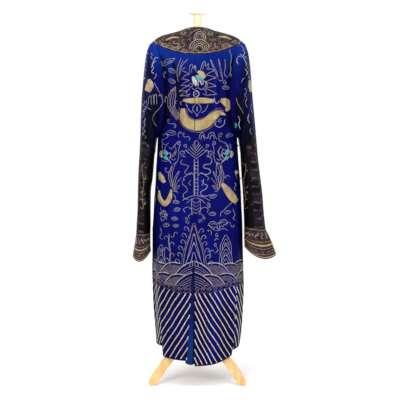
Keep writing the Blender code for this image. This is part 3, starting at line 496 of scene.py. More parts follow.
class RobeBody:
    """The body of the robe as a surface of height and turn."""

    def __init__(self) -> None:
        """Fits the tables."""
        self.half = {"left": Curve(BODY, "height", "left"), "right": Curve(BODY, "height", "right")}
        self.back_depth = Curve(BODY, "height", "back")
        self.front_depth = Curve(BODY, "height", "front")
        self.side_seam = {
            "left": Curve(BODY, "height", "seam_left"), "right": Curve(BODY, "height", "seam_right")
        }
        self.arm_out = Curve(ARMHOLE, "turn", "out")
        self.arm_deep = Curve(ARMHOLE, "turn", "deep")
        self.arm_height = Curve(ARMHOLE, "turn", "height")
        self.centre_x = Curve(CENTRE_SEAM, "height", "x")
        self.overlap = Curve(OVERLAP_EDGE, "height", "turn")

    def armhole(self, sign: Array | float, turn: Array) -> Array:
        """Points of the armhole, behind the shoulder where turn is negative."""
        away = np.abs(turn)
        deep = self.arm_deep(away) * np.sign(turn)
        return np.stack(np.broadcast_arrays(sign * self.arm_out(away), deep, self.arm_height(away)), -1)

    def plain(self, height: Array, turn: Array) -> Array:
        """The surface with no folds. height is taken on its centre line."""
        height, turn = np.broadcast_arrays(np.asarray(height, float), wrapped(turn))
        sign = np.where(turn >= 0, 1.0, -1.0)
        away = np.abs(turn)
        behind = away <= 90
        depth = np.where(behind, -self.back_depth(height), self.front_depth(height))
        top = np.where(behind, BACK_TOP, FRONT_TOP)
        share = (top - height) / (top - ARMPIT)
        arm_turn = SHOULDER_CORNER + (180 - SHOULDER_CORNER) * np.clip(share, -0.1, 1.0)
        arm = self.armhole(sign, np.where(behind, -arm_turn, arm_turn))
        half = sign * np.where(sign > 0, self.half["right"](height), self.half["left"](height))
        above = height > ARMPIT
        edge_x = np.where(above, arm[..., 0], half)
        edge_y = np.where(above, arm[..., 1], 0.0)
        edge_z = np.where(above, arm[..., 2], height)
        along = np.abs(np.cos(np.radians(away)))
        round_share = np.sin(np.radians(away))
        flat_share = np.minimum(away, 180 - away) / 90
        flat = CHEST_FLATNESS * smoothstep((height - ARMPIT) / 0.12)
        across = round_share * (1 - flat) + flat_share * flat
        return np.stack(
            (edge_x * across, edge_y + (depth - edge_y) * along, edge_z + (height - edge_z) * along), -1
        )

    def relief(self, height: Array, turn: Array) -> Array:
        """How far the folds and creases lift the cloth, fading out along the seams."""
        turn = wrapped(turn)
        away = np.abs(turn)
        total = np.zeros(np.broadcast(height, turn).shape)
        for fold in FOLDS:
            off = np.abs(turn - fold.turn)
            off = np.minimum(off, 360 - off)
            run = 0.35 * (fold.top - fold.bottom)
            ends = smoothstep((fold.top - height) / run) * smoothstep((height - fold.bottom) / run)
            total = total + fold.depth * ends * np.exp(-((off / fold.spread) ** 2))
        total = total + creases(turn, height, BODY_CREASES, 0.0028, 1.0)
        total = total + 0.0007 * np.sin(turn * 0.21 + height * 17.0) * np.sin(height * 23.0 + turn * 0.09)
        top = np.where(away <= 90, BACK_TOP, FRONT_TOP)
        seam = np.where(turn >= 0, self.side_seam["right"](height), self.side_seam["left"](height))
        at_side = np.where(
            height > ARMPIT, smoothstep(np.abs(90 - away) / 16), smoothstep(np.abs(seam - away) / 9)
        )
        return total * smoothstep((top - height) / 0.05) * at_side

    def __call__(self, height: Array, turn: Array, lift: Array | float = 0.0) -> Array:
        """Points of the robe's outer surface, moved out by lift.

        Args:
            height: heights on the centre line.
            turn: turns round the body, 0 behind.
            lift: how far out the points lie.

        Returns:
            The points, round the pole.
        """
        here = self.plain(height, turn)
        round_it = self.plain(height, turn + 0.5) - self.plain(height, turn - 0.5)
        below = np.maximum(height - 0.002, BODY[0].height)
        down = self.plain(below, turn) - self.plain(below + 0.004, turn)
        normal = unit(np.cross(down, round_it))
        outward = np.sum(normal[..., :2] * here[..., :2], axis=-1, keepdims=True)
        normal = np.where(outward < 0, -normal, normal)
        return here + normal * (self.relief(height, turn) + lift)[..., None]

    def slit_left(self, height: Array) -> Array:
        """The x of the left back's free edge beside the slit."""
        share = np.maximum(SLIT_TOP - height, 0.0) / (SLIT_TOP - HEM_BACK_LEFT[-1].height)
        return self.centre_x(height) - SLIT_HEM_WIDTH * share

    def centre_turn(self, height: Array, x: Array) -> Array:
        """The turn at which the back has this x, near its centre."""
        height, x = np.broadcast_arrays(np.asarray(height, float), np.asarray(x, float))
        low, high = np.zeros(height.shape), np.full(height.shape, 90.0)
        sign = np.where(x >= 0, 1.0, -1.0)
        for _ in range(22):
            middle = (low + high) / 2
            short = np.abs(self.plain(height, sign * middle)[..., 0]) < np.abs(x)
            low, high = np.where(short, middle, low), np.where(short, high, middle)
        return sign * low


class RobeSleeve:
    """A sleeve as a surface of station, from shoulder to wrist, and turn round it."""

    def __init__(self, side: str, body: RobeBody) -> None:
        """Fits the side's table.

        Args:
            side: left or right, the wearer's.
            body: the body, whose armhole the sleeve starts from.
        """
        self.side = side
        self.sign = 1.0 if side == "right" else -1.0
        self.body = body
        table = RIGHT_SECTIONS if side == "right" else LEFT_SECTIONS
        self.columns = {name: Curve(table, "station", name) for name in Section._fields[1:]}

    def __call__(self, station: Array, turn: Array, lift: Array | float = 0.0) -> Array:
        """Points of the sleeve's outer surface. turn is 0 on the outer side and 180 inside.

        Args:
            station: 0 at the armhole and 16 at the cuff's edge.
            turn: degrees round the sleeve.
            lift: how far out the points lie.

        Returns:
            The points, round the pole.
        """
        station, turn = np.broadcast_arrays(np.asarray(station, float), np.asarray(turn, float))
        row = {name: column(np.maximum(station, 1.0)) for name, column in self.columns.items()}
        cosine, sine = np.cos(np.radians(turn)), np.sin(np.radians(turn))
        middle_x, middle_z = (row["out_x"] + row["in_x"]) / 2, (row["out_z"] + row["in_z"]) / 2
        reach_x, reach_z = (row["out_x"] - row["in_x"]) / 2, (row["out_z"] - row["in_z"]) / 2
        off = (turn - CREASE_TURN[self.side]) / CREASE_SPREAD
        dent = row["crease"] * np.exp(-off * off)
        for fold in CROSS_FOLDS[self.side]:
            along = (station - fold.station) / fold.spread
            around = (turn - fold.turn) / fold.reach
            dent = dent - fold.depth * np.exp(-along * along - around * around)
        fine = creases(turn, station, SLEEVE_CREASES[self.side], 0.0016, 0.065)
        fade = smoothstep((station - 0.3) / 0.8) * smoothstep(np.abs(station - UPPER_SLEEVE_END) / 0.4)
        fine = fine * fade * smoothstep(np.abs(station - LOWER_SLEEVE_END) / 0.4)
        inner = smoothstep((np.abs(cosine - 1.0) - 1.25) / 0.5)
        rise = lift + fine * (1 - inner)
        size = 1 - dent / row["deep"] + rise / row["deep"]
        hoof = HOOF_DROP * smoothstep((station - LOWER_SLEEVE_END) / 3) * sine**2
        ring = np.stack((
            self.sign * (middle_x + reach_x * cosine * (1 + rise / 0.035) - row["pull"] * sine * sine),
            row["deep"] * sine * size,
            middle_z + reach_z * cosine - hoof,
        ), -1)
        arm = self.body.armhole(self.sign, turn)
        share = np.clip(station, 0.0, 1.0)[..., None]
        return arm + (ring - arm) * share


class RobeYoke:
    """The yoke collar as a surface of turn, and reach from the neck to the outer edge."""

    def __init__(self, body: RobeBody) -> None:
        """Keeps the body, whose top edge the yoke meets."""
        self.body = body

    def edge(self, turn: Array) -> Array:
        """The yoke's outer edge."""
        turn = wrapped(turn)
        sign = np.where(turn >= 0, 1.0, -1.0)
        away = np.abs(turn)
        scale = 90 / (90 - YOKE_TIP)
        behind = self.body.plain(np.full(away.shape, BACK_TOP), sign * np.minimum(away * scale, 90))
        before = self.body.plain(
            np.full(away.shape, FRONT_TOP), sign * np.maximum(180 - (180 - away) * scale, 90.001)
        )
        tip = self.body.armhole(sign, (away - 90) / YOKE_TIP * SHOULDER_CORNER)
        point = np.where((away < 90 - YOKE_TIP)[..., None], behind, tip)
        return np.where((away > 90 + YOKE_TIP)[..., None], before, point)

    def plain(self, turn: Array, reach: Array) -> Array:
        """The yoke's surface: reach is 0 at the neck and 1 at the outer edge."""
        turn, reach = np.broadcast_arrays(wrapped(turn), np.asarray(reach, float))
        reach = np.clip(reach, 0.0, 1.0)
        angle = np.radians(turn)
        straight = np.cos(angle)
        level = straight * straight
        behind = straight > 0
        depth = np.where(behind, NECK_BACK, NECK_FRONT)
        end_height = np.where(behind, NECK_HEIGHT_BACK, NECK_HEIGHT_FRONT)
        neck_z = NECK_HEIGHT_SIDE + (end_height - NECK_HEIGHT_SIDE) * level
        neck = np.stack((NECK_HALF_WIDTH * np.sin(angle), -depth * straight, neck_z), -1)
        edge = self.edge(turn)
        drop = (1 - level) * (0.72 * reach + 0.28 * reach**8) + level * reach**1.5
        point = neck + (edge - neck) * reach[..., None]
        point[..., 2] = neck_z + (edge[..., 2] - neck_z) * drop
        return point

    def __call__(self, turn: Array, reach: Array, lift: Array | float = 0.0) -> Array:
        """Points of the yoke moved out by lift.

        Args:
            turn: turns round the neck, 0 behind.
            reach: 0 at the neck and 1 at the outer edge.
            lift: how far out the points lie.

        Returns:
            The points, round the pole.
        """
        turn, reach = np.broadcast_arrays(np.asarray(turn, float), np.asarray(reach, float))
        around = self.plain(turn + 1, reach) - self.plain(turn - 1, reach)
        outward = self.plain(
            turn, np.minimum(reach + 0.02, 1.0)
        ) - self.plain(turn, np.maximum(reach - 0.02, 0.0))
        normal = unit(np.cross(around, outward))
        normal = np.where(normal[..., 2:] < 0, -normal, normal)
        wave = YOKE_SWELL * np.sin(turn * 0.31) * np.sin(reach * 5.0 + turn * 0.07)
        soft = wave * smoothstep(reach / YOKE_RIM) * smoothstep((1 - reach) / YOKE_RIM)
        return self.plain(turn, reach) + normal * (soft + lift)[..., None]


def with_normals(surface: Surface, a: Array, b: Array, lift: Array | float = 0.0) -> tuple[Array, Array]:
    """Points of a surface and its outward normals there."""
    here = surface(a, b, lift)
    above = surface(a, b, np.asarray(lift) + 0.004)
    return here, unit(above - here)


class Region:
    """Places on the body's cloth, as metres round from a centre line and metres up.

    FACING is the stretch of the turns, within 88 degrees of the middle, that shows from straight ahead.
    """

    FACING = slice(62, 239)

    def __init__(self, body: RobeBody, origin: float) -> None:
        """Measures the cloth.

        Args:
            body: the body's surface.
            origin: the turn that the distances start from, 0 behind and 180 before.
        """
        self.body = body
        self.origin = origin
        self.turns = np.arange(-REGION_TURN, REGION_TURN + 1.0)
        self.low, self.step = 0.080, 0.010
        self.heights = np.arange(self.low, 1.3781, self.step)
        points = body.plain(self.heights[:, None], origin + self.turns[None, :])
        lengths = np.linalg.norm(np.diff(points, axis=1), axis=-1)
        round_it = np.concatenate((np.zeros((len(self.heights), 1)), np.cumsum(lengths, axis=1)), axis=1)
        self.round_it = round_it - round_it[:, REGION_TURN:REGION_TURN + 1]
        self.up = points[..., 2]
        self.seen = points[..., 0] * (1.0 if origin == 0 else -1.0)

    def find(self, across: Array, up: Array, seen: bool) -> tuple[Array, Array]:
        """Height and turn of places on the cloth.

        Args:
            across: metres round from the centre line, or the x that is seen from straight ahead.
            up: heights above the floor.
            seen: whether across is the x that is seen.

        Returns:
            The heights and turns that the body's surface takes.
        """
        table = self.seen[:, self.FACING] if seen else self.round_it
        turns = self.turns[self.FACING] if seen else self.turns
        ups = self.up[:, self.FACING] if seen else self.up
        rows = np.arange(len(across))
        height = up.copy()
        turn = np.zeros(len(across))
        for _ in range(5):
            place = np.clip((height - self.low) / self.step, 0, len(self.heights) - 1.001)
            i = place.astype(int)
            part = (place - i)[:, None]
            line = table[i] * (1 - part) + table[i + 1] * part
            level = ups[i] * (1 - part) + ups[i + 1] * part
            k = np.clip((line < across[:, None]).sum(axis=1), 1, line.shape[1] - 1)
            before, after = line[rows, k - 1], line[rows, k]
            t = np.clip((across - before) / np.maximum(after - before, 1e-9), 0.0, 1.0)
            turn = turns[k - 1] + t
            height = height + (up - (level[rows, k - 1] * (1 - t) + level[rows, k] * t))
        return height, turn + self.origin


class Seen:
    """Finds places on a surface by the x and z at which they show from straight behind."""

    def __init__(self, surface: Surface, first: Array, second: Array) -> None:
        """Samples the surface.

        Args:
            surface: the surface, round the pole.
            first: samples of its first coordinate.
            second: samples of its second coordinate.
        """
        self.surface = surface
        a, b = np.meshgrid(first, second, indexing="ij")
        self.samples = np.stack((a.ravel(), b.ravel()), axis=1)
        self.low, self.high = self.samples.min(axis=0), self.samples.max(axis=0)
        self.shown = surface(self.samples[:, 0], self.samples[:, 1])[:, ::2]

    def find(self, places: Array, hand: float) -> tuple[Array, Array]:
        """The surface's coordinates of places.

        Args:
            places: metres from the centre seam, and heights.
            hand: 1, or -1 for the same places on the other side of the sleeve.

        Returns:
            The first coordinates, and the second ones times hand.
        """
        places = places + np.array([SEEN_SHIFT, 0.0])
        at = self.samples[((places[:, None] - self.shown[None]) ** 2).sum(axis=-1).argmin(axis=1)].copy()
        step = (self.high - self.low) * 0.002
        for _ in range(6):
            here = self.surface(at[:, 0], at[:, 1])[:, ::2]
            by_a = (self.surface(at[:, 0] + step[0], at[:, 1])[:, ::2] - here) / step[0]
            by_b = (self.surface(at[:, 0], at[:, 1] + step[1])[:, ::2] - here) / step[1]
            det = by_a[:, 0] * by_b[:, 1] - by_b[:, 0] * by_a[:, 1]
            det = np.where(np.abs(det) < 1e-9, 1e-9, det)
            off = places - here
            move = np.stack(
                (
                    by_b[:, 1] * off[:, 0] - by_b[:, 0] * off[:, 1],
                    by_a[:, 0] * off[:, 1] - by_a[:, 1] * off[:, 0]
                ),
                axis=1
            )
            at = np.clip(at + np.clip(move / det[:, None], -25 * step, 25 * step), self.low, self.high)
        return at[:, 0], at[:, 1] * hand


class Thread(Enum):
    """The embroidery's threads."""

    SILVER = "silver"
    GOLD = "gold"
    FILL = "fill"
    TURQUOISE = "turquoise"
    CORAL = "coral"
    WHITE = "white"
    STRIPE = "stripe"
    BROWN = "brown"
    LILAC = "lilac"
    PALE = "pale"


@dataclass
class Gauge:
    """How wide and how high a couched cord stands."""

    width: float
    height: float


MAIN = Gauge(0.0021, 0.0010)
FINE = Gauge(0.0016, 0.0008)
STRIPE = Gauge(0.0044, 0.0011)
BOLD = Gauge(0.0030, 0.0012)


class Needlework:
    """Couched cords and laid fillings on one panel, gathered by thread into joined meshes."""

    PROFILE = ((-0.5, -0.12), (-0.30, 0.80), (0.30, 0.80), (0.5, -0.12))
    END_SHARE = 0.55

    def __init__(self, panel: str) -> None:
        """Starts a panel's needlework."""
        self.panel = panel
        self.parts: dict[Thread, list[tuple[Array, Array, Array]]] = {}
        self.counts: dict[Thread, int] = {}

    def add(self, thread: Thread, points: Array, quads: Array, uvs: Array) -> None:
        """Adds vertices, quads and their UVs to a thread's mesh."""
        start = self.counts.get(thread, 0)
        self.parts.setdefault(thread, []).append((points, quads + start, uvs))
        self.counts[thread] = start + len(points)

    def couch(self, thread: Thread, points: Array, normals: Array, gauge: Gauge) -> None:
        """Lays one cord along points of the cloth.

        Args:
            thread: what it is made of.
            points: places on the cloth, a few millimetres apart.
            normals: the cloth's normals there.
            gauge: the cord's width and height.
        """
        if len(points) < 3:
            return
        ahead = unit(np.gradient(points, axis=0))
        side = unit(np.cross(ahead, normals))
        count = len(points)
        taper = np.ones(count)
        taper[0] = taper[-1] = self.END_SHARE
        ring = [
            points
            + side * (across * gauge.width * taper)[:, None]
            + normals * (up * gauge.height * taper)[:, None]
            for across, up in self.PROFILE
        ]
        vertices = np.stack(ring, axis=1).reshape(-1, 3)
        i = np.arange(count - 1)[:, None] * 4
        k = np.arange(3)[None, :]
        quads = np.stack((i + k, i + k + 1, i + k + 5, i + k + 4), axis=-1).reshape(-1, 4)
        along = np.concatenate(([0.0], np.cumsum(np.linalg.norm(np.diff(points, axis=0), axis=1))))
        u = np.repeat(along[:, None], 4, axis=1)
        v = np.repeat(np.array([[-0.5, -0.2, 0.2, 0.5]]) * gauge.width, count, axis=0)
        self.add(thread, vertices, quads, np.stack((u, v), -1).reshape(-1, 2))

    def fill(self, thread: Thread, grid: Array, uv: Array) -> None:
        """Adds a laid filling, given as a grid of points that runs along and across.

        Args:
            thread: what it is made of.
            grid: rows of points along the filling.
            uv: a place on the thread's own pattern for each point.
        """
        rows, columns = grid.shape[:2]
        i = np.arange(rows - 1)[:, None] * columns
        k = np.arange(columns - 1)[None, :]
        first, second = grid[1, columns // 2] - grid[0, columns // 2], grid[0, -1] - grid[0, 0]
        quads = np.stack((i + k, i + k + 1, i + k + 1 + columns, i + k + columns), axis=-1).reshape(-1, 4)
        middle = grid[rows // 2, columns // 2] - (grid[rows // 2, 0] + grid[rows // 2, -1]) / 2
        if np.dot(np.cross(second, first), middle) < 0:
            quads = quads[:, ::-1]
        self.add(thread, grid.reshape(-1, 3), quads, uv.reshape(-1, 2))

    def finish(self, finishes: dict[Thread, bpy.types.Material]) -> list[bpy.types.Object]:
        """Makes one object of each thread used on the panel."""
        made = []
        for thread, parts in self.parts.items():
            points = np.concatenate([part[0] for part in parts])
            quads = np.concatenate([part[1] for part in parts])
            uvs = np.concatenate([part[2] for part in parts])
            name = f"{self.panel}_{thread.value}_thread"
            piece = mesh_object(name, points, quads, uvs[quads.reshape(-1)], finishes[thread])
            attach(piece, "root")
            made.append(piece)
            log.info("%s: %d faces", name, len(quads))
        return made


def mesh_object(
    name: str, points: Array, quads: Array, loop_uvs: Array, finish: bpy.types.Material
) -> bpy.types.Object:
    """A smooth mesh object placed in the frame.

    Args:
        name: the piece's name.
        points: its vertices round the pole.
        quads: vertex numbers of its faces.
        loop_uvs: a UV for each corner of each face.
        finish: its material.

    Returns:
        The new object.
    """
    mesh = bpy.data.meshes.new(name)
    placed = points + np.array([POLE_X, POLE_Y, 0.0])
    mesh.from_pydata(placed.tolist(), [], quads.tolist())
    layer = mesh.uv_layers.new(name="Cloth")
    layer.data.foreach_set("uv", np.ascontiguousarray(loop_uvs, np.float32).reshape(-1))
    mesh.shade_smooth()
    mesh.materials.append(finish)
    piece = bpy.data.objects.new(name, mesh)
    bpy.context.scene.collection.objects.link(piece)
    return piece


@dataclass
class Cloth:
    """A sheet of cloth through a grid of points, thickened towards its inside."""

    name: str
    grid: Array
    finish: bpy.types.Material
    flat: tuple[float, float]
    closed: bool = False
    wall: float = CLOTH
    area: float | None = None
    held: str = "draped"
    rests_on: tuple[str, ...] = ("form_torso",)
    # Per-point painted shading: 0.5 is none, lower is painted shade, higher is painted highlight.
    tone: Array | None = None

    def outward(self) -> Array:
        """A direction out of the cloth at each face, from its middle."""
        centre = self.grid.mean(axis=1, keepdims=True) if self.closed else np.zeros((1, 1, 3))
        away = self.grid - centre
        if not self.closed:
            away[..., 2] = 0.0
        return away[:-1] if self.closed else away[:-1, :-1]

    def make(self) -> bpy.types.Object:
        rows, columns = self.grid.shape[:2]
        used = columns if self.closed else columns - 1
        i = np.arange(rows - 1)[:, None] * columns
        k = np.arange(used)[None, :]
        k2 = (k + 1) % columns
        quads = np.stack((i + k, i + columns + k, i + columns + k2, i + k2), axis=-1)
        ring = np.concatenate((self.grid, self.grid[:, :1]), axis=1) if self.closed else self.grid
        u = np.concatenate(
            (np.zeros((rows, 1)), np.cumsum(np.linalg.norm(np.diff(ring, axis=1), axis=-1), axis=1)), axis=1
        )
        u = u - u[:, u.shape[1] // 2][:, None]
        down = np.linalg.norm(np.diff(ring[:, ring.shape[1] // 2], axis=0), axis=-1)
        v = np.repeat(np.concatenate(([0.0], np.cumsum(down)))[:, None], u.shape[1], axis=1)
        uv = np.stack((u, v), -1)
        corners = np.stack((uv[:-1, :-1], uv[1:, :-1], uv[1:, 1:], uv[:-1, 1:]), axis=2)
        normal = np.cross(ring[1:, :-1] - ring[:-1, :-1], ring[:-1, 1:] - ring[:-1, :-1])
        area = float(np.linalg.norm(normal, axis=-1).sum())
        if np.sum(normal * self.outward()) < 0:
            quads, corners = quads[..., ::-1], corners[:, :, ::-1]
        piece = mesh_object(
            self.name,
            self.grid.reshape(-1, 3),
            quads.reshape(-1, 4),
            corners.reshape(-1, 2),
            self.finish,
        )
        # Stores the painted shading on the mesh's points, where the finishes read it as painted shade and
        # painted highlight.
        tone = np.full((rows, columns), 0.5) if self.tone is None else np.clip(self.tone, 0.0, 1.0)
        layer = piece.data.attributes.new("Tone", "FLOAT", "POINT")
        layer.data.foreach_set("value", np.ascontiguousarray(tone, np.float32).reshape(-1))
        thick = piece.modifiers.new("thickness", "SOLIDIFY")
        thick.thickness = self.wall
        thick.offset = -1.0
        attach(piece, "root")
        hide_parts(self.name.removesuffix("_cloth"))
        list(self.rests_on)
        log.info("%s: %.4f square metres of cloth", self.name, area)
        return piece


Colour = tuple[float, float, float]
Link = bpy.types.NodeSocket


class Graph:
    """A material's nodes, led to one shader."""

    def __init__(self, name: str, **sockets: float | tuple) -> None:
        """Starts the material.

        Args:
            name: the material's name.
            sockets: constants for the shader's own sockets, with _ for each space.
        """
        self.material = bpy.data.materials.new(name)
        self.material.use_nodes = True
        self.tree = self.material.node_tree
        self.shader = self.tree.nodes["Principled BSDF"]
        for key, value in sockets.items():
            self.shader.inputs[key.replace("_", " ")].default_value = value

    def add(self, kind: str, inputs: dict | None = None, **settings: object) -> bpy.types.Node:
        """A node with its settings, and its inputs as constants or links."""
        node = self.tree.nodes.new("ShaderNode" + kind)
        for key, value in settings.items():
            setattr(node, key, value)
        for key, value in (inputs or {}).items():
            self.put(node, key, value)
        return node

    def put(self, node: bpy.types.Node, key: str | int, value: object) -> None:
        """Sets or links one input of a node."""
        if isinstance(value, bpy.types.NodeSocket):
            self.tree.links.new(value, node.inputs[key])
        else:
            node.inputs[key].default_value = value

    def place(
        self, scale: tuple[float, float, float] = (1, 1, 1), turned: float = 0.0, cloth: bool = False
    ) -> Link:
        """Object coordinates, or the piece's own UVs, scaled and turned.

        Args:
            scale: the scale on each axis.
            turned: a turn about the third axis, in degrees.
            cloth: whether the piece's own UVs are read.

        Returns:
            The scaled and turned place.
        """
        if cloth:
            source = self.add("UVMap", uv_map="Cloth").outputs["UV"]
        else:
            source = self.add("TexCoord").outputs["Object"]
        mapping = self.add(
            "Mapping", {"Vector": source, "Scale": scale, "Rotation": (0, 0, math.radians(turned))}
        )
        return mapping.outputs["Vector"]

    def toned(self, colour: Link, deep: Colour, light: Colour, share: float = 0.6) -> Link:
        """The colour with painted shading from the cloth's per-point attribute: painted shade, towards deep,
        in its hollows and shaded zones, and painted highlight, towards light, on its ridges.
        """
        tone = self.add("Attribute", attribute_name="Tone").outputs["Fac"]
        colour = self.mix(self.span(tone, 0.50, 0.06), colour, deep)
        return self.mix(self.span(tone, 0.52, 1.0, 0.0, share), colour, light)

    def noise(self, place: Link, scale: float, detail: float = 2.0, rough: float = 0.5) -> Link:
        """Soft noise from 0 to 1."""
        node = self.add("TexNoise", {"Vector": place, "Scale": scale, "Detail": detail, "Roughness": rough})
        return node.outputs["Fac"]

    def bands(self, place: Link, scale: float, along: str = "X", bend: float = 0.0) -> Link:
        """Even sine bands."""
        inputs = {"Vector": place, "Scale": scale, "Distortion": bend, "Detail": 1.0, "Detail Scale": 2.0}
        return self.add("TexWave", inputs, bands_direction=along).outputs["Fac"]

    def ramp(self, value: Link, stops: Sequence[tuple[float, Colour | float]]) -> Link:
        """A colour ramp through the stops."""
        node = self.add("ValToRGB", {"Fac": value})
        elements = node.color_ramp.elements
        while len(elements) < len(stops):
            elements.new(0.5)
        for element, (at, colour) in zip(elements, stops):
            element.position = at
            element.color = (*colour, 1.0) if isinstance(colour, tuple) else (colour, colour, colour, 1.0)
        return node.outputs["Color"]

    def math(self, operation: str, a: Link | float, b: Link | float = 0.0) -> Link:
        """One sum of two values."""
        return self.add("Math", {0: a, 1: b}, operation=operation).outputs[0]

    def span(self, value: Link, low: float, high: float, to_low: float = 0.0, to_high: float = 1.0) -> Link:
        """A value moved smoothly from one range to another."""
        inputs = {"Value": value, "From Min": low, "From Max": high, "To Min": to_low, "To Max": to_high}
        return self.add("MapRange", inputs, interpolation_type="SMOOTHSTEP").outputs["Result"]

    def mix(self, share: Link | float, a: Link | Colour, b: Link | Colour, blend: str = "MIX") -> Link:
        """Two colours mixed."""
        node = self.add("Mix", {0: share}, data_type="RGBA", blend_type=blend)
        for index, value in ((6, a), (7, b)):
            self.put(node, index, (*value, 1.0) if isinstance(value, tuple) else value)
        return node.outputs[2]

    def split(self, place: Link, axis: str) -> Link:
        """One axis of a place."""
        return self.add("SeparateXYZ", {0: place}).outputs[axis]

    def bump(self, height: Link, deep: float, strength: float = 1.0, under: Link | None = None) -> Link:
        """A bump of this depth in metres."""
        node = self.add("Bump", {"Height": height, "Distance": deep, "Strength": strength})
        if under is not None:
            self.tree.links.new(under, node.inputs["Normal"])
        return node.outputs["Normal"]

    def done(self, colour: Link, rough: Link | None = None, normal: Link | None = None) -> bpy.types.Material:
        """Leads the colour, roughness and normal to the shader."""
        for key, value in (("Base Color", colour), ("Roughness", rough), ("Normal", normal)):
            if value is not None:
                self.tree.links.new(value, self.shader.inputs[key])
        return self.material


@dataclass(frozen=True)
class SatinFinish:
    """Blue silk satin, navy towards the hem, with a fine weave, painted brighter and greener towards the
    shoulders as a painted highlight of the satin there, and carrying painted shading in its folds.
    """

    name: str = "blue_satin"
    hem: Colour = (0.0014, 0.0010, 0.036)
    body: Colour = (0.0008, 0.0014, 0.082)
    # The painted highlight's colour towards the shoulders.
    shoulder: Colour = (0.0008, 0.0170, 0.180)
    specular: float = 0.03
    low_height: float = 0.36
    high_height: float = 0.60
    chest_height: float = 1.26
    shoulder_height: float = 1.41

    def make(self) -> bpy.types.Material:
        """Builds the material."""
        g = Graph(self.name, Specular_IOR_Level=self.specular)
        place, cloth = g.place(), g.place(cloth=True)
        height = g.split(place, "Z")
        colour = g.mix(g.span(height, self.low_height, self.high_height), self.hem, self.body)
        # Painted highlight: the satin turns brighter towards the shoulders.
        colour = g.mix(g.span(height, self.chest_height, self.shoulder_height), colour, self.shoulder)
        patchy = g.noise(g.place((3.0, 3.0, 1.2)), 4.0, 3.0)
        colour = g.mix(
            g.span(patchy, 0.35, 0.70, 0.0, 0.55), colour, g.mix(1.0, colour, (0.45, 0.45, 0.55), "MULTIPLY")
        )
        bright = g.noise(g.place((14.0, 14.0, 5.0)), 1.0, 3.0)
        colour = g.mix(g.span(bright, 0.52, 0.72, 0.0, 0.45), colour, (0.0012, 0.0060, 0.1700))
        slubs = g.noise(g.place((140.0, 2500.0, 1.0), cloth=True), 1.0, 1.0)
        colour = g.mix(g.span(slubs, 0.50, 0.80, 0.0, 0.30), colour, (0.002, 0.008, 0.160))
        # Painted shading from the cloth's per-point attribute: near-black in hollows and shaded zones,
        # brighter blue on ridges.
        colour = g.toned(colour, (0.0006, 0.0008, 0.0060), (0.0020, 0.0140, 0.2300))
        rough = g.span(patchy, 0.2, 0.8, 0.42, 0.58)
        twill = g.bands(g.place((1.0, 1.0, 1.0), 38.0, cloth=True), 260.0)
        normal = g.bump(twill, 0.00012, 0.5)
        wrinkle = g.noise(g.place((26.0, 11.0, 1.0), cloth=True), 1.0, 3.0, 0.55)
        normal = g.bump(wrinkle, 0.0035, 0.55, normal)
        return g.done(colour, rough, normal)


@dataclass(frozen=True)
class RibbedFinish:
    """Dark ribbed silk with uneven paler bands across the sleeve."""

    name: str = "ribbed_dark_silk"
    ground: Colour = (0.0160, 0.0080, 0.0190)
    dark: Colour = (0.0016, 0.0012, 0.0022)
    band: Colour = (0.1000, 0.0860, 0.0900)
    pitch: float = 0.034
    shift: float = 0.0

    def make(self) -> bpy.types.Material:
        """Builds the material."""
        g = Graph(self.name, Specular_IOR_Level=0.05)
        height, across = g.split(g.place(), "Z"), g.split(g.place(cloth=True), "X")
        sway = g.math("MULTIPLY", g.math("SUBTRACT", g.noise(g.place((14.0, 14.0, 6.0)), 1.0), 0.5), 0.020)
        lane = g.math("MULTIPLY", g.math("FLOOR", g.math("MULTIPLY", across, 1 / 0.044)), 0.023)
        place = g.math("ADD", g.math("ADD", height, sway), g.math("ADD", lane, self.shift))
        gone = g.math(
            "ABSOLUTE", g.math("SUBTRACT", g.math("FRACT", g.math("DIVIDE", place, self.pitch)), 0.5)
        )
        stripe = g.math("SUBTRACT", 1.0, g.span(gone, 0.08, 0.17))
        broken = g.span(g.noise(g.place((30.0, 30.0, 60.0)), 1.0), 0.34, 0.60)
        stripe = g.math("MULTIPLY", stripe, broken)
        zone = g.math(
            "ABSOLUTE", g.math("SUBTRACT", g.math("FRACT", g.math("DIVIDE", place, 2.6 * self.pitch)), 0.5)
        )
        patchy = g.noise(g.place((5.0, 5.0, 5.0)), 3.0, 3.0)
        ground = g.mix(g.span(zone, 0.16, 0.30), self.ground, self.dark)
        ground = g.mix(g.span(patchy, 0.45, 0.75, 0.0, 0.6), ground, (0.0140, 0.0080, 0.0120))
        colour = g.mix(g.math("MULTIPLY", stripe, 0.62), ground, self.band)
        ribs = g.bands(g.place((1.0, 1.0, 1.0), cloth=True), 62.0)
        colour = g.mix(g.math("MULTIPLY", ribs, 0.35), colour, (0.002, 0.001, 0.002))
        # Painted shading from the cloth's per-point attribute: near-black in hollows and on the inner side,
        # lighter on ridges.
        colour = g.toned(colour, (0.0010, 0.0009, 0.0012), (0.0300, 0.0200, 0.0260), 0.9)
        normal = g.bump(ribs, 0.0006, 0.7)
        weave = g.bands(g.place((1.0, 1.0, 1.0), cloth=True), 400.0, "Y")
        normal = g.bump(weave, 0.0001, 0.5, normal)
        wrinkle = g.noise(g.place((24.0, 16.0, 1.0), cloth=True), 1.0, 3.0, 0.55)
        normal = g.bump(wrinkle, 0.0040, 0.6, normal)
        return g.done(colour, g.span(patchy, 0.2, 0.8, 0.48, 0.66), normal)


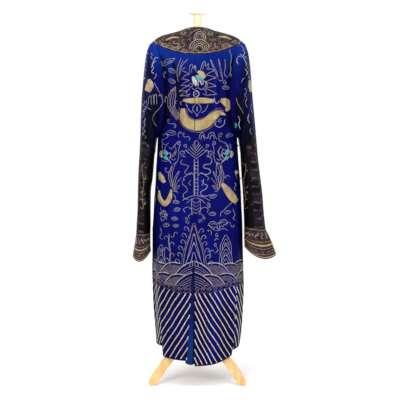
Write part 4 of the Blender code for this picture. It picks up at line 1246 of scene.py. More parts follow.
@dataclass(frozen=True)
class TrimFinish:
    """Brown and purple trim silk, closely worked with fine gold."""

    name: str = "trim_brocade"
    ground: Colour = (0.013, 0.007, 0.016)
    other: Colour = (0.026, 0.013, 0.017)
    gold: Colour = (0.160, 0.110, 0.065)

    def make(self) -> bpy.types.Material:
        """Builds the material."""
        g = Graph(self.name, Specular_IOR_Level=0.06)
        patchy = g.noise(g.place(), 18.0, 3.0)
        colour = g.mix(g.span(patchy, 0.38, 0.62), self.ground, self.other)
        scrolls = g.add(
            "TexVoronoi", {
                "Vector": g.place((1.0, 1.0, 1.0), cloth=True), "Scale": 95.0
            }, feature="DISTANCE_TO_EDGE"
        ).outputs["Distance"]
        line = g.math("SUBTRACT", 1.0, g.span(scrolls, 0.03, 0.09))
        worn = g.span(g.noise(g.place(), 60.0, 2.0), 0.40, 0.62)
        line = g.math("MULTIPLY", line, worn)
        colour = g.mix(g.math("MULTIPLY", line, 0.60), colour, self.gold)
        weave = g.bands(g.place((1.0, 1.0, 1.0), 45.0, cloth=True), 300.0)
        normal = g.bump(weave, 0.00012, 0.5)
        normal = g.bump(line, 0.0004, 0.8, normal)
        wrinkle = g.noise(g.place(), 22.0, 2.0)
        normal = g.bump(wrinkle, 0.0025, 0.5, normal)
        return g.done(colour, g.span(patchy, 0.2, 0.8, 0.45, 0.62), normal)


@dataclass(frozen=True)
class PlainSilkFinish:
    """Plain blue silk, brighter towards the hem, with a crosswise rib."""

    name: str = "bright_blue_silk"
    colour: Colour = (0.0005, 0.0240, 0.1350)
    middle: Colour = (0.0005, 0.0070, 0.1000)
    top: Colour = (0.0008, 0.0012, 0.0230)

    def make(self) -> bpy.types.Material:
        """Builds the material."""
        g = Graph(self.name, Specular_IOR_Level=0.05)
        patchy = g.noise(g.place((6.0, 6.0, 2.0)), 5.0, 2.0)
        height = g.split(g.place(), "Z")
        colour = g.mix(g.span(height, 0.12, 0.32), self.colour, self.middle)
        colour = g.mix(g.span(height, 0.30, 0.52), colour, self.top)
        colour = g.mix(g.span(patchy, 0.35, 0.65), colour, g.mix(1.0, colour, (0.60, 0.60, 0.66), "MULTIPLY"))
        # Painted shadow from the cloth's per-point attribute, darkening the strip's right side.
        colour = g.toned(colour, (0.0006, 0.0006, 0.0050), self.colour)
        rib = g.bands(g.place((1.0, 1.0, 1.0), cloth=True), 160.0, "Y")
        return g.done(colour, g.span(patchy, 0.2, 0.8, 0.40, 0.55), g.bump(rib, 0.0002, 0.6))


@dataclass(frozen=True)
class CordFinish:
    """A couched cord of wrapped thread, tied down every few millimetres."""

    name: str
    bright: Colour
    dull: Colour
    metallic: float = 0.35
    rough: float = 0.42
    twist: float = 170.0

    def make(self) -> bpy.types.Material:
        """Builds the material."""
        g = Graph(self.name, Metallic=self.metallic, Roughness=self.rough)
        cloth = g.place((1.0, 1.0, 1.0), 35.0, cloth=True)
        twist = g.bands(cloth, self.twist)
        worn = g.noise(g.place(), 70.0, 3.0)
        colour = g.mix(g.span(worn, 0.38, 0.68), self.bright, self.dull)
        ties = g.math("FRACT", g.math("MULTIPLY", g.split(g.place(cloth=True), "X"), 1 / 0.0042))
        tie = g.math("SUBTRACT", 1.0, g.span(g.math("ABSOLUTE", g.math("SUBTRACT", ties, 0.5)), 0.04, 0.12))
        colour = g.mix(g.math("MULTIPLY", tie, 0.55), colour, (0.085, 0.035, 0.040))
        colour = g.mix(g.math("MULTIPLY", twist, 0.30), colour, self.dull)
        normal = g.bump(twist, 0.0003, 0.8)
        return g.done(colour, g.span(worn, 0.2, 0.8, self.rough - 0.08, self.rough + 0.12), normal)


@dataclass(frozen=True)
class LaidFinish:
    """A filling of laid threads held by rows of little stitches."""

    name: str
    bright: Colour
    dull: Colour
    metallic: float = 0.4
    rough: float = 0.40
    thread: float = 0.0011

    def make(self) -> bpy.types.Material:
        """Builds the material."""
        g = Graph(self.name, Metallic=self.metallic, Roughness=self.rough)
        rows = g.bands(g.place((1.0, 1.0, 1.0), cloth=True), 0.314 / self.thread, "Y")
        bricks = g.add(
            "TexBrick",
            {
                "Vector": g.place((1.0, 1.0, 1.0), cloth=True),
                "Scale": 1.0,
                "Mortar Size": 0.0004,
                "Brick Width": 0.0075,
                "Row Height": self.thread * 2,
                "Color1": (1, 1, 1, 1),
                "Color2": (0.6, 0.6, 0.6, 1),
                "Mortar": (0, 0, 0, 1),
            },
        ).outputs["Color"]
        worn = g.noise(g.place(), 45.0, 3.0)
        colour = g.mix(g.span(worn, 0.36, 0.66), self.bright, self.dull)
        colour = g.mix(g.math("MULTIPLY", g.math("SUBTRACT", 1.0, bricks), 0.5), colour, self.dull)
        colour = g.mix(g.math("MULTIPLY", rows, 0.35), colour, self.dull)
        normal = g.bump(rows, 0.0004, 0.8)
        normal = g.bump(bricks, 0.0003, 0.6, normal)
        return g.done(colour, g.span(worn, 0.2, 0.8, self.rough - 0.06, self.rough + 0.14), normal)


@dataclass(frozen=True)
class LinenFinish:
    """Natural linen stretched over the form, painted near-black below the neck and away from it as painted
    shade inside the robe.
    """

    name: str = "linen_cover"
    colour: Colour = (0.780, 0.720, 0.600)

    def make(self) -> bpy.types.Material:
        """Builds the material."""
        g = Graph(self.name, Roughness=0.85)
        warp = g.bands(g.place(), 330.0, "X")
        weft = g.bands(g.place(), 330.0, "Z")
        weave = g.math("MULTIPLY", warp, weft)
        uneven = g.noise(g.place((1.0, 1.0, 9.0)), 40.0, 3.0)
        colour = g.mix(g.span(uneven, 0.3, 0.7), self.colour, (0.640, 0.570, 0.450))
        colour = g.mix(g.math("MULTIPLY", weave, 0.25), colour, (0.900, 0.860, 0.760))
        # Painted shade: the linen is painted near-black below the neck and away from it, where it lies in
        # shade inside the robe.
        off_neck = g.math("ABSOLUTE", g.math("ADD", g.split(g.place(), "X"), -POLE_X))
        painted_shade_inside = g.math(
            "MAXIMUM", g.span(g.split(g.place(), "Z"), 1.400, 1.385), g.span(off_neck, 0.095, 0.110)
        )
        colour = g.mix(painted_shade_inside, colour, (0.014, 0.014, 0.032))
        return g.done(colour, None, g.bump(weave, 0.0002, 0.7))


@dataclass(frozen=True)
class WoodFinish:
    """Pale beech with a waxed surface and fine flecks along the grain."""

    name: str = "pale_beech"
    light: Colour = (0.870, 0.560, 0.210)
    dark: Colour = (0.640, 0.340, 0.120)
    grain: tuple[float, float, float] = (30.0, 30.0, 4.0)

    def make(self) -> bpy.types.Material:
        """Builds the material."""
        g = Graph(self.name, Coat_Weight=0.25, Coat_Roughness=0.25)
        place = g.place(self.grain)
        figure = g.noise(place, 1.6, 4.0, 0.6)
        fleck = g.noise(g.place(tuple(4 * s for s in self.grain)), 2.2, 2.0)
        colour = g.mix(g.span(figure, 0.35, 0.68), self.light, self.dark)
        colour = g.mix(g.span(fleck, 0.60, 0.72, 0.0, 0.5), colour, (0.420, 0.200, 0.070))
        return g.done(colour, g.span(figure, 0.2, 0.8, 0.34, 0.48), g.bump(fleck, 0.0002, 0.4))


@dataclass(frozen=True)
class MetalFinish:
    """Turned metal with fine lines and a little tarnish."""

    name: str
    colour: Colour
    tarnish: Colour
    rough: float
    lines: float = 900.0

    def make(self) -> bpy.types.Material:
        """Builds the material."""
        g = Graph(self.name, Metallic=1.0)
        brushed = g.noise(g.place((self.lines, self.lines, self.lines * 0.03)), 1.0, 2.0)
        cloudy = g.noise(g.place(), 24.0, 3.0)
        colour = g.mix(g.span(cloudy, 0.42, 0.70), self.colour, self.tarnish)
        rough = g.math("ADD", g.span(brushed, 0.2, 0.8, -0.06, 0.08), self.rough)
        return g.done(colour, rough, g.bump(brushed, 0.00008, 0.5))


@dataclass(frozen=True)
class LoopFinish:
    """Blue silk cord, tightly twisted, for the button loops."""

    name: str = "blue_loop_cord"

    def make(self) -> bpy.types.Material:
        """Builds the material."""
        g = Graph(self.name, Specular_IOR_Level=0.2)
        twist = g.bands(g.place((1.0, 1.0, 1.0), 40.0), 220.0, "DIAGONAL")
        colour = g.mix(twist, (0.006, 0.010, 0.200), (0.003, 0.004, 0.080))
        return g.done(colour, g.span(twist, 0.0, 1.0, 0.40, 0.55), g.bump(twist, 0.0005, 0.8))


@dataclass(frozen=True)
class FloorFinish:
    """The pale studio floor."""

    name: str = "studio_floor"

    def make(self) -> bpy.types.Material:
        """Builds the material."""
        g = Graph(self.name, Roughness=0.9)
        return g.done(g.mix(g.noise(g.place(), 3.0), (0.988, 0.988, 0.988), (0.998, 0.998, 0.998)))


def thread_finishes() -> dict[Thread, bpy.types.Material]:
    """The material of each of the embroidery's threads."""
    return {
        Thread.SILVER: CordFinish("silver_lilac_cord", (0.330, 0.300, 0.310), (0.170, 0.145, 0.165)).make(),
        Thread.GOLD: CordFinish("gold_cord", (0.400, 0.290, 0.150), (0.220, 0.145, 0.075)).make(),
        Thread.STRIPE: CordFinish(
            "pale_gold_cord", (0.570, 0.510, 0.430), (0.360, 0.310, 0.250), twist=120.0
        ).make(),
        Thread.BROWN: CordFinish("brown_cord", (0.250, 0.165, 0.120), (0.125, 0.080, 0.065), 0.2).make(),
        Thread.LILAC: CordFinish("lilac_cord", (0.245, 0.195, 0.205), (0.135, 0.100, 0.115), 0.2).make(),
        Thread.PALE: CordFinish("pale_cord", (0.520, 0.465, 0.390), (0.330, 0.285, 0.230), 0.2).make(),
        Thread.FILL: LaidFinish("laid_gold", (0.510, 0.400, 0.175), (0.300, 0.220, 0.085)).make(),
        Thread.TURQUOISE: LaidFinish(
            "turquoise_floss", (0.002, 0.420, 0.390), (0.003, 0.190, 0.210), 0.0, 0.5
        ).make(),
        Thread.CORAL: LaidFinish(
            "coral_floss", (0.420, 0.170, 0.150), (0.240, 0.080, 0.080), 0.0, 0.5
        ).make(),
        Thread.WHITE: LaidFinish(
            "white_floss", (0.660, 0.640, 0.640), (0.380, 0.360, 0.380), 0.0, 0.5
        ).make(),
    }


def resampled(line: Line, step: float) -> Line:
    """The same line with its points evenly spaced."""
    lengths = np.concatenate(([0.0], np.cumsum(np.linalg.norm(np.diff(line, axis=0), axis=1))))
    count = max(int(round(lengths[-1] / step)), 3)
    at = np.linspace(0.0, lengths[-1], count + 1)
    return np.stack([np.interp(at, lengths, line[:, k]) for k in range(line.shape[1])], axis=1)


def through(*places: tuple[float, float], closed: bool = False) -> Line:
    """A smooth line through given places."""
    points = np.array(places, float)
    if closed:
        points = np.concatenate((points[-1:], points, points[:2]))
    else:
        points = np.concatenate((2 * points[:1] - points[1:2], points, 2 * points[-1:] - points[-2:-1]))
    t = np.linspace(0, 1, 10, endpoint=False)[:, None]
    spans = []
    for a, b, c, d in zip(points, points[1:], points[2:], points[3:]):
        spans.append(
            0.5 * (2 * b + (c - a) * t + (2 * a - 5 * b + 4 * c - d) * t**2 + (3 * b - a - 3 * c + d) * t**3)
        )
    return np.concatenate(spans + [points[-2:-1]])


def arc(x: float, z: float, radius: float, start: float, end: float, squash: float = 1.0) -> Line:
    """Part of a circle, or of an oval where squash isn't 1. Angles are in degrees from +x."""
    angle = np.radians(np.linspace(start, end, 28))
    return np.stack((x + radius * np.cos(angle), z + radius * squash * np.sin(angle)), axis=1)


def spiral(x: float, z: float, radius: float, start: float, turns: float, hand: int = 1) -> Line:
    """A line that winds in from its radius."""
    t = np.linspace(0, 1, int(24 * turns) + 8)
    angle = np.radians(start + hand * 360 * turns * t)
    reach = radius * (1 - 0.82 * t)
    return np.stack((x + reach * np.cos(angle), z + reach * np.sin(angle)), axis=1)


def moved(
    lines: Sequence[Line], x: float, z: float, size: float = 1.0, turn: float = 0.0, flip: bool = False
) -> list[Line]:
    """Copies of lines, scaled, mirrored, turned and then moved.

    Args:
        lines: the lines to copy.
        x: how far they move across.
        z: how far they move up.
        size: their scale.
        turn: how far they turn, in degrees.
        flip: whether they are mirrored first.

    Returns:
        The new lines.
    """
    angle = math.radians(turn)
    spin = np.array([[math.cos(angle), math.sin(angle)], [-math.sin(angle), math.cos(angle)]])
    mirror = np.array([-1.0 if flip else 1.0, 1.0])
    return [(line * mirror * size) @ spin + np.array([x, z]) for line in lines]


def mirrored(lines: Sequence[Line], x: float = 0.0) -> list[Line]:
    """The lines and their reflections across an upright line."""
    return list(lines) + [line * np.array([-1.0, 1.0]) + np.array([2 * x, 0.0]) for line in lines]


def cloud() -> list[Line]:
    """A three-lobed cloud head with its tail, one unit across."""
    side = [spiral(-0.30, 0.0, 0.24, 250, 1.3, -1), through((-0.52, -0.04), (-0.50, 0.22), (-0.26, 0.30))]
    crown = through((-0.26, 0.26), (-0.20, 0.50), (0.0, 0.60), (0.20, 0.50), (0.26, 0.26))
    tail = through((-0.34, -0.24), (-0.10, -0.34), (0.06, -0.20), (0.30, -0.28), (0.62, -0.52))
    return mirrored(side) + [crown, tail]


def eye_cloud() -> list[Line]:
    """A small pointed cloud with a line inside."""
    outline = through(
        (-0.5, -0.05), (-0.15, 0.24), (0.25, 0.20), (0.5, 0.02), (0.2, -0.20), (-0.2, -0.22), closed=True
    )
    return [outline, through((-0.24, 0.0), (0.0, 0.06), (0.26, 0.0))]


def scroll() -> list[Line]:
    """An S of cord with a curl at each end."""
    body = through((-0.16, -0.62), (0.06, -0.38), (-0.06, 0.0), (-0.14, 0.30), (0.04, 0.52))
    return [body, spiral(-0.30, -0.56, 0.15, -20, 1.1, 1), spiral(0.20, 0.46, 0.17, 155, 1.1, -1)]


def hook() -> list[Line]:
    """A comma of cord with one curl."""
    return [
        through((0.0, -0.55), (-0.18, -0.25), (-0.10, 0.10), (0.08, 0.25)),
        spiral(0.22, 0.20, 0.17, 150, 1.2, -1)
    ]


def ripple(count: int = 3) -> list[Line]:
    """A row of small humps."""
    places = []
    for i in range(count):
        places += [
            (i - count / 2, -0.18), (i - count / 2 + 0.25, 0.22), (i - count / 2 + 0.5, 0.30),
            (i - count / 2 + 0.75, 0.18)
        ]
    return [through(*places, (count / 2, -0.18))]


def bat() -> list[Line]:
    """A bat with spread scalloped wings, two units across."""
    wing = through((0.10, 0.10), (0.34, 0.42), (0.70, 0.44), (1.0, 0.12))
    scallop = through(
        (1.0, 0.12), (0.80, 0.10), (0.72, -0.12), (0.56, 0.0), (0.46, -0.24), (0.28, -0.10), (0.12, -0.30)
    )
    vein = through((0.22, 0.12), (0.44, 0.24), (0.66, 0.20))
    body = through(
        (0.0, 0.30), (0.10, 0.10), (0.10, -0.20), (0.0, -0.50), (-0.10, -0.20), (-0.10, 0.10), closed=True
    )
    return mirrored([wing, scallop, vein]) + [body]


def runs(line: Array, keep: Array) -> list[Array]:
    """The stretches of rows that are kept."""
    edges = np.flatnonzero(np.diff(np.concatenate(([0], keep.astype(int), [0]))))
    return [line[a:b] for a, b in zip(edges[::2], edges[1::2]) if b - a > 2]


@dataclass
class Filling:
    """A shape of laid thread: its middle line, half widths along it, and how high it is padded."""

    middle: Line
    halves: Sequence[float]
    rise: float = 0.0016
    thread: Thread = Thread.FILL
    edge: Thread | None = Thread.SILVER

    def grid(self, across: int = 9) -> tuple[Array, Array, Array]:
        """Places of the filling as rows along and columns across.

        Args:
            across: how many columns.

        Returns:
            The places, the lift at each, and their UVs.
        """
        middle = resampled(self.middle, 0.0035)
        ahead = unit(np.gradient(middle, axis=0))
        normal = np.stack((-ahead[:, 1], ahead[:, 0]), axis=1)
        t = np.linspace(0, 1, len(middle))
        half = np.interp(t, np.linspace(0, 1, len(self.halves)), self.halves)
        v = np.linspace(-1, 1, across)
        places = middle[:, None] + normal[:, None] * (half[:, None] * v)[..., None]
        lift = self.rise * (1 - v**4)[None, :] * np.minimum(1.0, half / 0.004)[:, None] + 0.0002
        along = np.concatenate(([0.0], np.cumsum(np.linalg.norm(np.diff(middle, axis=0), axis=1))))
        uv = np.stack((np.repeat(along[:, None], across, axis=1), half[:, None] * v), axis=-1)
        return places, lift, uv

    def outline(self) -> Line:
        """The filling's edge."""
        places = self.grid(3)[0]
        return np.concatenate((places[:, 0], places[::-1, 2], places[:1, 0]))


Locate = Callable[[Array], tuple[Array, Array]]
Holds = Callable[[Array, Array], Array]


class Worktop:
    """Cloth that embroidery is drawn out on flat, and then worked through onto its panels."""

    def __init__(
        self,
        surface: Surface,
        locate: Locate,
        panels: dict[str, Holds],
        step: float = 0.0042,
        clamps: dict[str, Callable] | None = None,
    ) -> None:
        """Sets up the cloth.

        Args:
            surface: gives points of the cloth.
            locate: turns drawn places into the surface's own coordinates.
            panels: for each panel's name, which of those coordinates it holds.
            step: the distance between points of a cord.
            clamps: for some panels' names, what brings places just past an edge back to it.
        """
        self.clamps = clamps or {}
        self.surface = surface
        self.locate = locate
        self.panels = panels
        self.step = step
        self.lines: list[tuple[Thread, Gauge, Line]] = []
        self.fillings: list[Filling] = []

    def cords(self, thread: Thread, lines: Sequence[Line], gauge: Gauge = FINE) -> None:
        """Draws cords."""
        self.lines += [(thread, gauge, resampled(line, self.step)) for line in lines]

    def lay(self, *fillings: Filling) -> None:
        """Draws fillings, each with its edge cord."""
        for filling in fillings:
            self.fillings.append(filling)
            if filling.edge is not None:
                self.cords(filling.edge, [filling.outline()])

    def work(self, needles: dict[str, Needlework]) -> None:
        """Works all that is drawn into each panel's needlework."""
        joined = np.concatenate([line for _, _, line in self.lines])
        found = self.locate(joined)
        grids = [(filling, *filling.grid()) for filling in self.fillings]
        laid = [self.locate(places.reshape(-1, 2)) for _, places, _, _ in grids]
        for panel, holds in self.panels.items():
            clamp = self.clamps.get(panel, lambda a, b: (a, b))
            needle = needles.setdefault(panel, Needlework(panel))
            a, b = clamp(*found)
            keep = holds(a, b)
            if keep.any():
                near = np.convolve(keep, np.ones(3), "same") > 0
                data = np.zeros((len(joined), 6))
                data[near] = np.concatenate(with_normals(self.surface, a[near], b[near]), axis=1)
                start = 0
                for thread, gauge, line in self.lines:
                    end = start + len(line)
                    for run in runs(data[start:end], keep[start:end]):
                        needle.couch(thread, run[:, :3], run[:, 3:], gauge)
                    start = end
            for (filling, _, lift, uv), places in zip(grids, laid):
                a, b = clamp(*places)
                keep = holds(a, b).reshape(lift.shape)
                if keep.any():
                    points = self.surface(a, b, lift.reshape(-1)).reshape(*lift.shape, 3)
                    for first, last in self.held_rows(keep):
                        needle.fill(filling.thread, points[first:last], uv[first:last])
        self.lines, self.fillings = [], []

    @staticmethod
    def held_rows(keep: Array) -> list[tuple[int, int]]:
        """The stretches of rows that a panel holds nearly all of."""
        whole = keep.mean(axis=1) > 0.6
        edges = np.flatnonzero(np.diff(np.concatenate(([0], whole.astype(int), [0]))))
        return [(a, b) for a, b in zip(edges[::2], edges[1::2]) if b - a > 1]


@dataclass
class BodyPanel:
    """A panel of the robe's body: its edges as turns, its hem, and its size when cut."""

    name: str
    body: RobeBody
    start: Callable[[Array], Array]
    end: Callable[[Array], Array]
    hem: Curve
    top: float
    flat: tuple[float, float]
    area: float
    columns: int
    layered: bool = False
    hem_rise: float = 0.0
    rows: int = 196
    skirt_rows: int = 16
    edge_roll: float = 0.0007
    edge_width: float = 0.0024

    def bottom(self, turn: Array) -> Array:
        """The lower edge's height."""
        return self.hem(turn) + self.hem_rise

    def lift(self, height: Array, share: Array) -> Array:
        """How far the panel stands over another."""
        if not self.layered:
            return np.zeros(share.shape)
        return LAYER * smoothstep(share / 0.3) * smoothstep((FRONT_TOP - height) / 0.03)

    def surface(self, height: Array, turn: Array, lift: Array | float = 0.0) -> Array:
        """The panel's own outer surface, over what lies under it."""
        share = (turn - self.start(height)) / (self.end(height) - self.start(height))
        return self.body(height, turn, self.lift(height, share) + lift)

    def holds(self, height: Array, turn: Array) -> Array:
        """Whether places lie on the panel, a little inside its edges."""
        start, end = self.start(height), self.end(height)
        low, high = np.minimum(start, end) + 0.25, np.maximum(start, end) - 0.25
        return (turn > low) & (turn < high) & (height < self.top - 0.003) & (
            height > self.bottom(turn) + 0.003
        )

    def clamp(self, height: Array, turn: Array) -> tuple[Array, Array]:
        """The same places, with those just past an edge brought back to it."""
        start, end = self.start(height), self.end(height)
        inside = np.clip(turn, np.minimum(start, end) + 0.3, np.maximum(start, end) - 0.3)
        return height, np.where(np.abs(turn - inside) < 1.7, inside, turn)

    def make(self, finish: bpy.types.Material) -> bpy.types.Object:
        """Cuts and hangs the panel."""
        t = np.linspace(0, 1, self.columns)
        shares = (t - 0.11 * np.sin(2 * np.pi * t))[None, :]
        levels = np.linspace(self.top - 0.0012, SKIRT_LEVEL, self.rows)
        drops = np.linspace(0, 1, self.skirt_rows + 1)[1:]
        level = np.concatenate((levels, np.full(self.skirt_rows, SKIRT_LEVEL)))[:, None]
        drop = np.concatenate((np.zeros(self.rows), drops))[:, None]
        height = level + 0 * shares
        for _ in range(4):
            turn = self.start(height) + (self.end(height) - self.start(height)) * shares
            height = level + (self.bottom(turn) - SKIRT_LEVEL) * drop
        turn = self.start(height) + (self.end(height) - self.start(height)) * shares
        width = np.abs(self.end(height) - self.start(height)) * 0.0028
        from_edge = np.minimum(shares, 1 - shares) * width
        from_edge = np.minimum(from_edge, np.maximum(self.top - height, 0))
        roll = -self.edge_roll * np.exp(-((from_edge / self.edge_width) ** 2))
        grid = self.body(height, turn, self.lift(height, shares + 0 * height) + roll)
        # Painted shading: fold troughs painted darker and ridges lighter, painted shade beside the armholes,
        # and painted shade down the body's sides under the sleeves, heavier on the right.
        armhole_painted_shade = smoothstep((36 - np.abs(np.abs(wrapped(turn)) - 90)) / 26)
        armhole_painted_shade = armhole_painted_shade * smoothstep((height - 1.05) / 0.08) * smoothstep((1.350 - height) / 0.06)
        soft = 0.017 + 0.012 * smoothstep((0.75 - height) / 0.2)
        side = smoothstep(
            (32 - np.abs(np.abs(wrapped(turn)) - 90)) / 16
        ) * np.where(wrapped(turn) > 0, 0.34, 0.20)
        side = side * smoothstep((1.02 - height) / 0.12) * smoothstep((height - 0.34) / 0.14)
        tone = 0.5 + self.body.relief(height, turn) / soft - 0.46 * armhole_painted_shade - side
        return Cloth(self.name + "_cloth", grid, finish, self.flat, area=self.area, tone=tone).make()


class Robe:
    """The robe's own pattern: every panel's edges, and the cloth made from them."""

    def __init__(self) -> None:
        """Sets out the panels."""
        self.body = RobeBody()
        self.heights = np.arange(0.07, 1.40, 0.004)
        slit = self.body.slit_left(self.heights) - SEAM / 2
        centre = self.body.centre_x(self.heights) + SEAM / 2
        self.left_start = self.body.centre_turn(self.heights, slit)
        self.right_start = self.body.centre_turn(self.heights, centre)
        front_hem = Curve(HEM_FRONT, "turn", "height")
        self.back_left = BodyPanel(
            "back_left",
            self.body,
            lambda h: np.interp(h, self.heights, self.left_start),
            lambda h: -(self.body.side_seam["left"](h) - self.seam_gap(h)),
            Curve(HEM_BACK_LEFT, "turn", "height"),
            BACK_TOP,
            (0.23, 1.30),
            0.21,
            76,
        )
        self.back_right = BodyPanel(
            "back_right",
            self.body,
            lambda h: np.interp(h, self.heights, self.right_start),
            lambda h: self.body.side_seam["right"](h) - self.seam_gap(h),
            Curve(HEM_BACK_RIGHT, "turn", "height"),
            BACK_TOP,
            (0.26, 1.33),
            0.245,
            80,
        )
        self.front_outer = BodyPanel(
            "front_outer",
            self.body,
            lambda h: 360 - self.body.side_seam["left"](h) - self.seam_gap(h),
            self.body.overlap,
            front_hem,
            FRONT_TOP,
            (0.62, 1.26),
            0.565,
            136,
            layered=True,
        )
        self.front_under = BodyPanel(
            "front_under",
            self.body,
            lambda h: self.body.side_seam["right"](h) + self.seam_gap(h),
            self.under_end,
            front_hem,
            FRONT_TOP,
            (0.45, 1.25),
            0.373,
            84,
            hem_rise=0.008,
            rows=150,
        )

    def seam_gap(self, height: Array) -> Array:
        """A seam's half gap as a turn, wider where the armhole folds in."""
        return math.degrees(SEAM / 2 / 0.15) + 0.35 * smoothstep((height - ARMPIT) / 0.03)

    def under_end(self, height: Array) -> Array:
        """The under front's free edge."""
        hidden = smoothstep((UNDER_HIDES_BELOW - height) / 0.05)
        return (self.body.overlap(height) - 1.0) * (1 - hidden) + UNDER_EDGE * hidden

    def make_slit_facing(self, finish: bpy.types.Material) -> bpy.types.Object:
        """The plain silk strip that shows in the slit."""
        heights = np.linspace(SLIT_TOP - 0.030, 0.100, 110)[:, None]
        left = self.body.slit_left(heights) - 0.006
        right = self.body.centre_x(heights) + 0.004
        shares = np.linspace(0, 1, 15)[None, :]
        turns = self.body.centre_turn(heights + 0 * shares, left + (right - left) * shares)
        grid = self.body(
            heights + 0 * shares, turns, -(0.0016 + 0.0009) - 0.0006 * np.sin(heights * 40 + shares * 5)
        )
        grid[-1, :, 2] -= 0.008 * np.sin(np.pi * shares[0]) ** 0.8
        # Painted shadow down the strip's right side, where it runs under the right back panel.
        tone = 0.5 - 0.45 * smoothstep((shares - 0.60) / 0.25) + 0 * heights
        rests_on = ("back_left", "back_right")
        return Cloth(
            "slit_facing_cloth", grid, finish, (0.045, 0.48), area=0.0145, rests_on=rests_on, tone=tone
        ).make()

    def make_sleeve(
        self, side: str, satin: bpy.types.Material, ribbed: bpy.types.Material, trim: bpy.types.Material
    ) -> None:
        """A sleeve's three parts.

        Args:
            side: left or right, the wearer's.
            satin: the upper sleeve's finish.
            ribbed: the lower sleeve's finish.
            trim: the cuff's finish.
        """
        sleeve = RobeSleeve(side, self.body)
        parts = (
            ("upper_sleeve", 0.014, UPPER_SLEEVE_END - 0.007, 100, 112, satin, (0.66, 0.36), 0.144, CLOTH),
            (
                "lower_sleeve", UPPER_SLEEVE_END + 0.016, LOWER_SLEEVE_END - 0.010, 130, 84, ribbed,
                (0.36, 0.40), 0.122, CLOTH
            ),
            ("cuff", LOWER_SLEEVE_END + 0.010, CUFF_END, 44, 84, trim, (0.38, 0.13), 0.038, 0.0018),
        )
        for name, first, last, rows, columns, finish, flat, area, wall in parts:
            stations = np.linspace(first, last, rows)[:, None]
            turns = -180 + 360 * np.arange(columns)[None, :] / columns
            from_end = np.minimum(stations - first, last - stations) * 0.065
            roll = -0.0007 * np.exp(-((from_end / 0.0024) ** 2))
            grid = sleeve(stations + 0 * turns, turns + 0 * stations, roll + 0 * turns)
            # Painted shading: creases painted darker and lighter, painted shade over the upper sleeve,
            # deepest on its inner side, and painted shade on the lower sleeve's inner side.
            tone = 0.5 + creases(turns, stations, SLEEVE_CREASES[side], 0.0016, 0.065) / 0.010
            if name == "upper_sleeve":
                inner = smoothstep((np.abs(turns) - (92 - 9 * stations)) / 30)
                tone = tone - (0.24 * inner + 0.20) * smoothstep((stations - 0.3) / 1.8) - 0.10 * inner
            elif name == "lower_sleeve":
                tone = tone - 0.46 * smoothstep((np.abs(turns) - 88) / 16)
            Cloth(
                f"{name}_{side}_cloth", grid, finish, flat, closed=True, wall=wall, area=area, tone=tone
            ).make()

    def make_yoke(self, trim: bpy.types.Material) -> bpy.types.Object:
        """The broad yoke collar, split at the centre front."""
        yoke = RobeYoke(self.body)
        turns = np.linspace(-180 + YOKE_SPLIT, 180 - YOKE_SPLIT, 220)[None, :]
        reaches = np.linspace(0.0, 0.998, 44)[:, None]
        from_edge = np.minimum(reaches, 1 - reaches) * 0.13
        roll = -0.0006 * np.exp(-((from_edge / 0.0024) ** 2))
        grid = yoke(turns + 0 * reaches, reaches + 0 * turns, roll + 0 * turns)
        return Cloth("yoke_collar_cloth", grid, trim, (0.42, 0.42), area=0.086).make()

    def make(self) -> None:
        """All the robe's cloth."""
        satin, trim = SatinFinish().make(), TrimFinish().make()
        for panel in (self.back_left, self.back_right, self.front_outer, self.front_under):
            panel.make(satin)
        self.make_slit_facing(PlainSilkFinish().make())
        for side, shift in (("left", 0.0), ("right", 0.012)):
            ribbed = RibbedFinish(name=f"ribbed_dark_silk_{side}", shift=shift).make()
            self.make_sleeve(side, satin, ribbed, trim)
        self.make_yoke(trim)


def shown(lines: Sequence[Line], fronts: Sequence[Line], floor: float = -1.0) -> list[Line]:
    """The runs of lines that stand over every outline in front of them, and over a floor.

    Args:
        lines: what is drawn.
        fronts: outlines that hide what is under them, each running one way along x.
        floor: the height that hides all below it.

    Returns:
        The runs that show.
    """
    found = []
    for line in lines:
        line = resampled(line, 0.002)
        keep = line[:, 1] > floor
        for front in fronts:
            front = front[np.argsort(front[:, 0])]
            keep &= line[:, 1] >= np.interp(
                line[:, 0], front[:, 0], front[:, 1], left=-1.0, right=-1.0
            ) - 1e-6
        found += runs(line, keep)
    return found


def mm(*places: tuple[float, float], closed: bool = False) -> Line:
    """A smooth line through places given in millimetres."""
    return through(*[(x * MM, z * MM) for x, z in places], closed=closed)


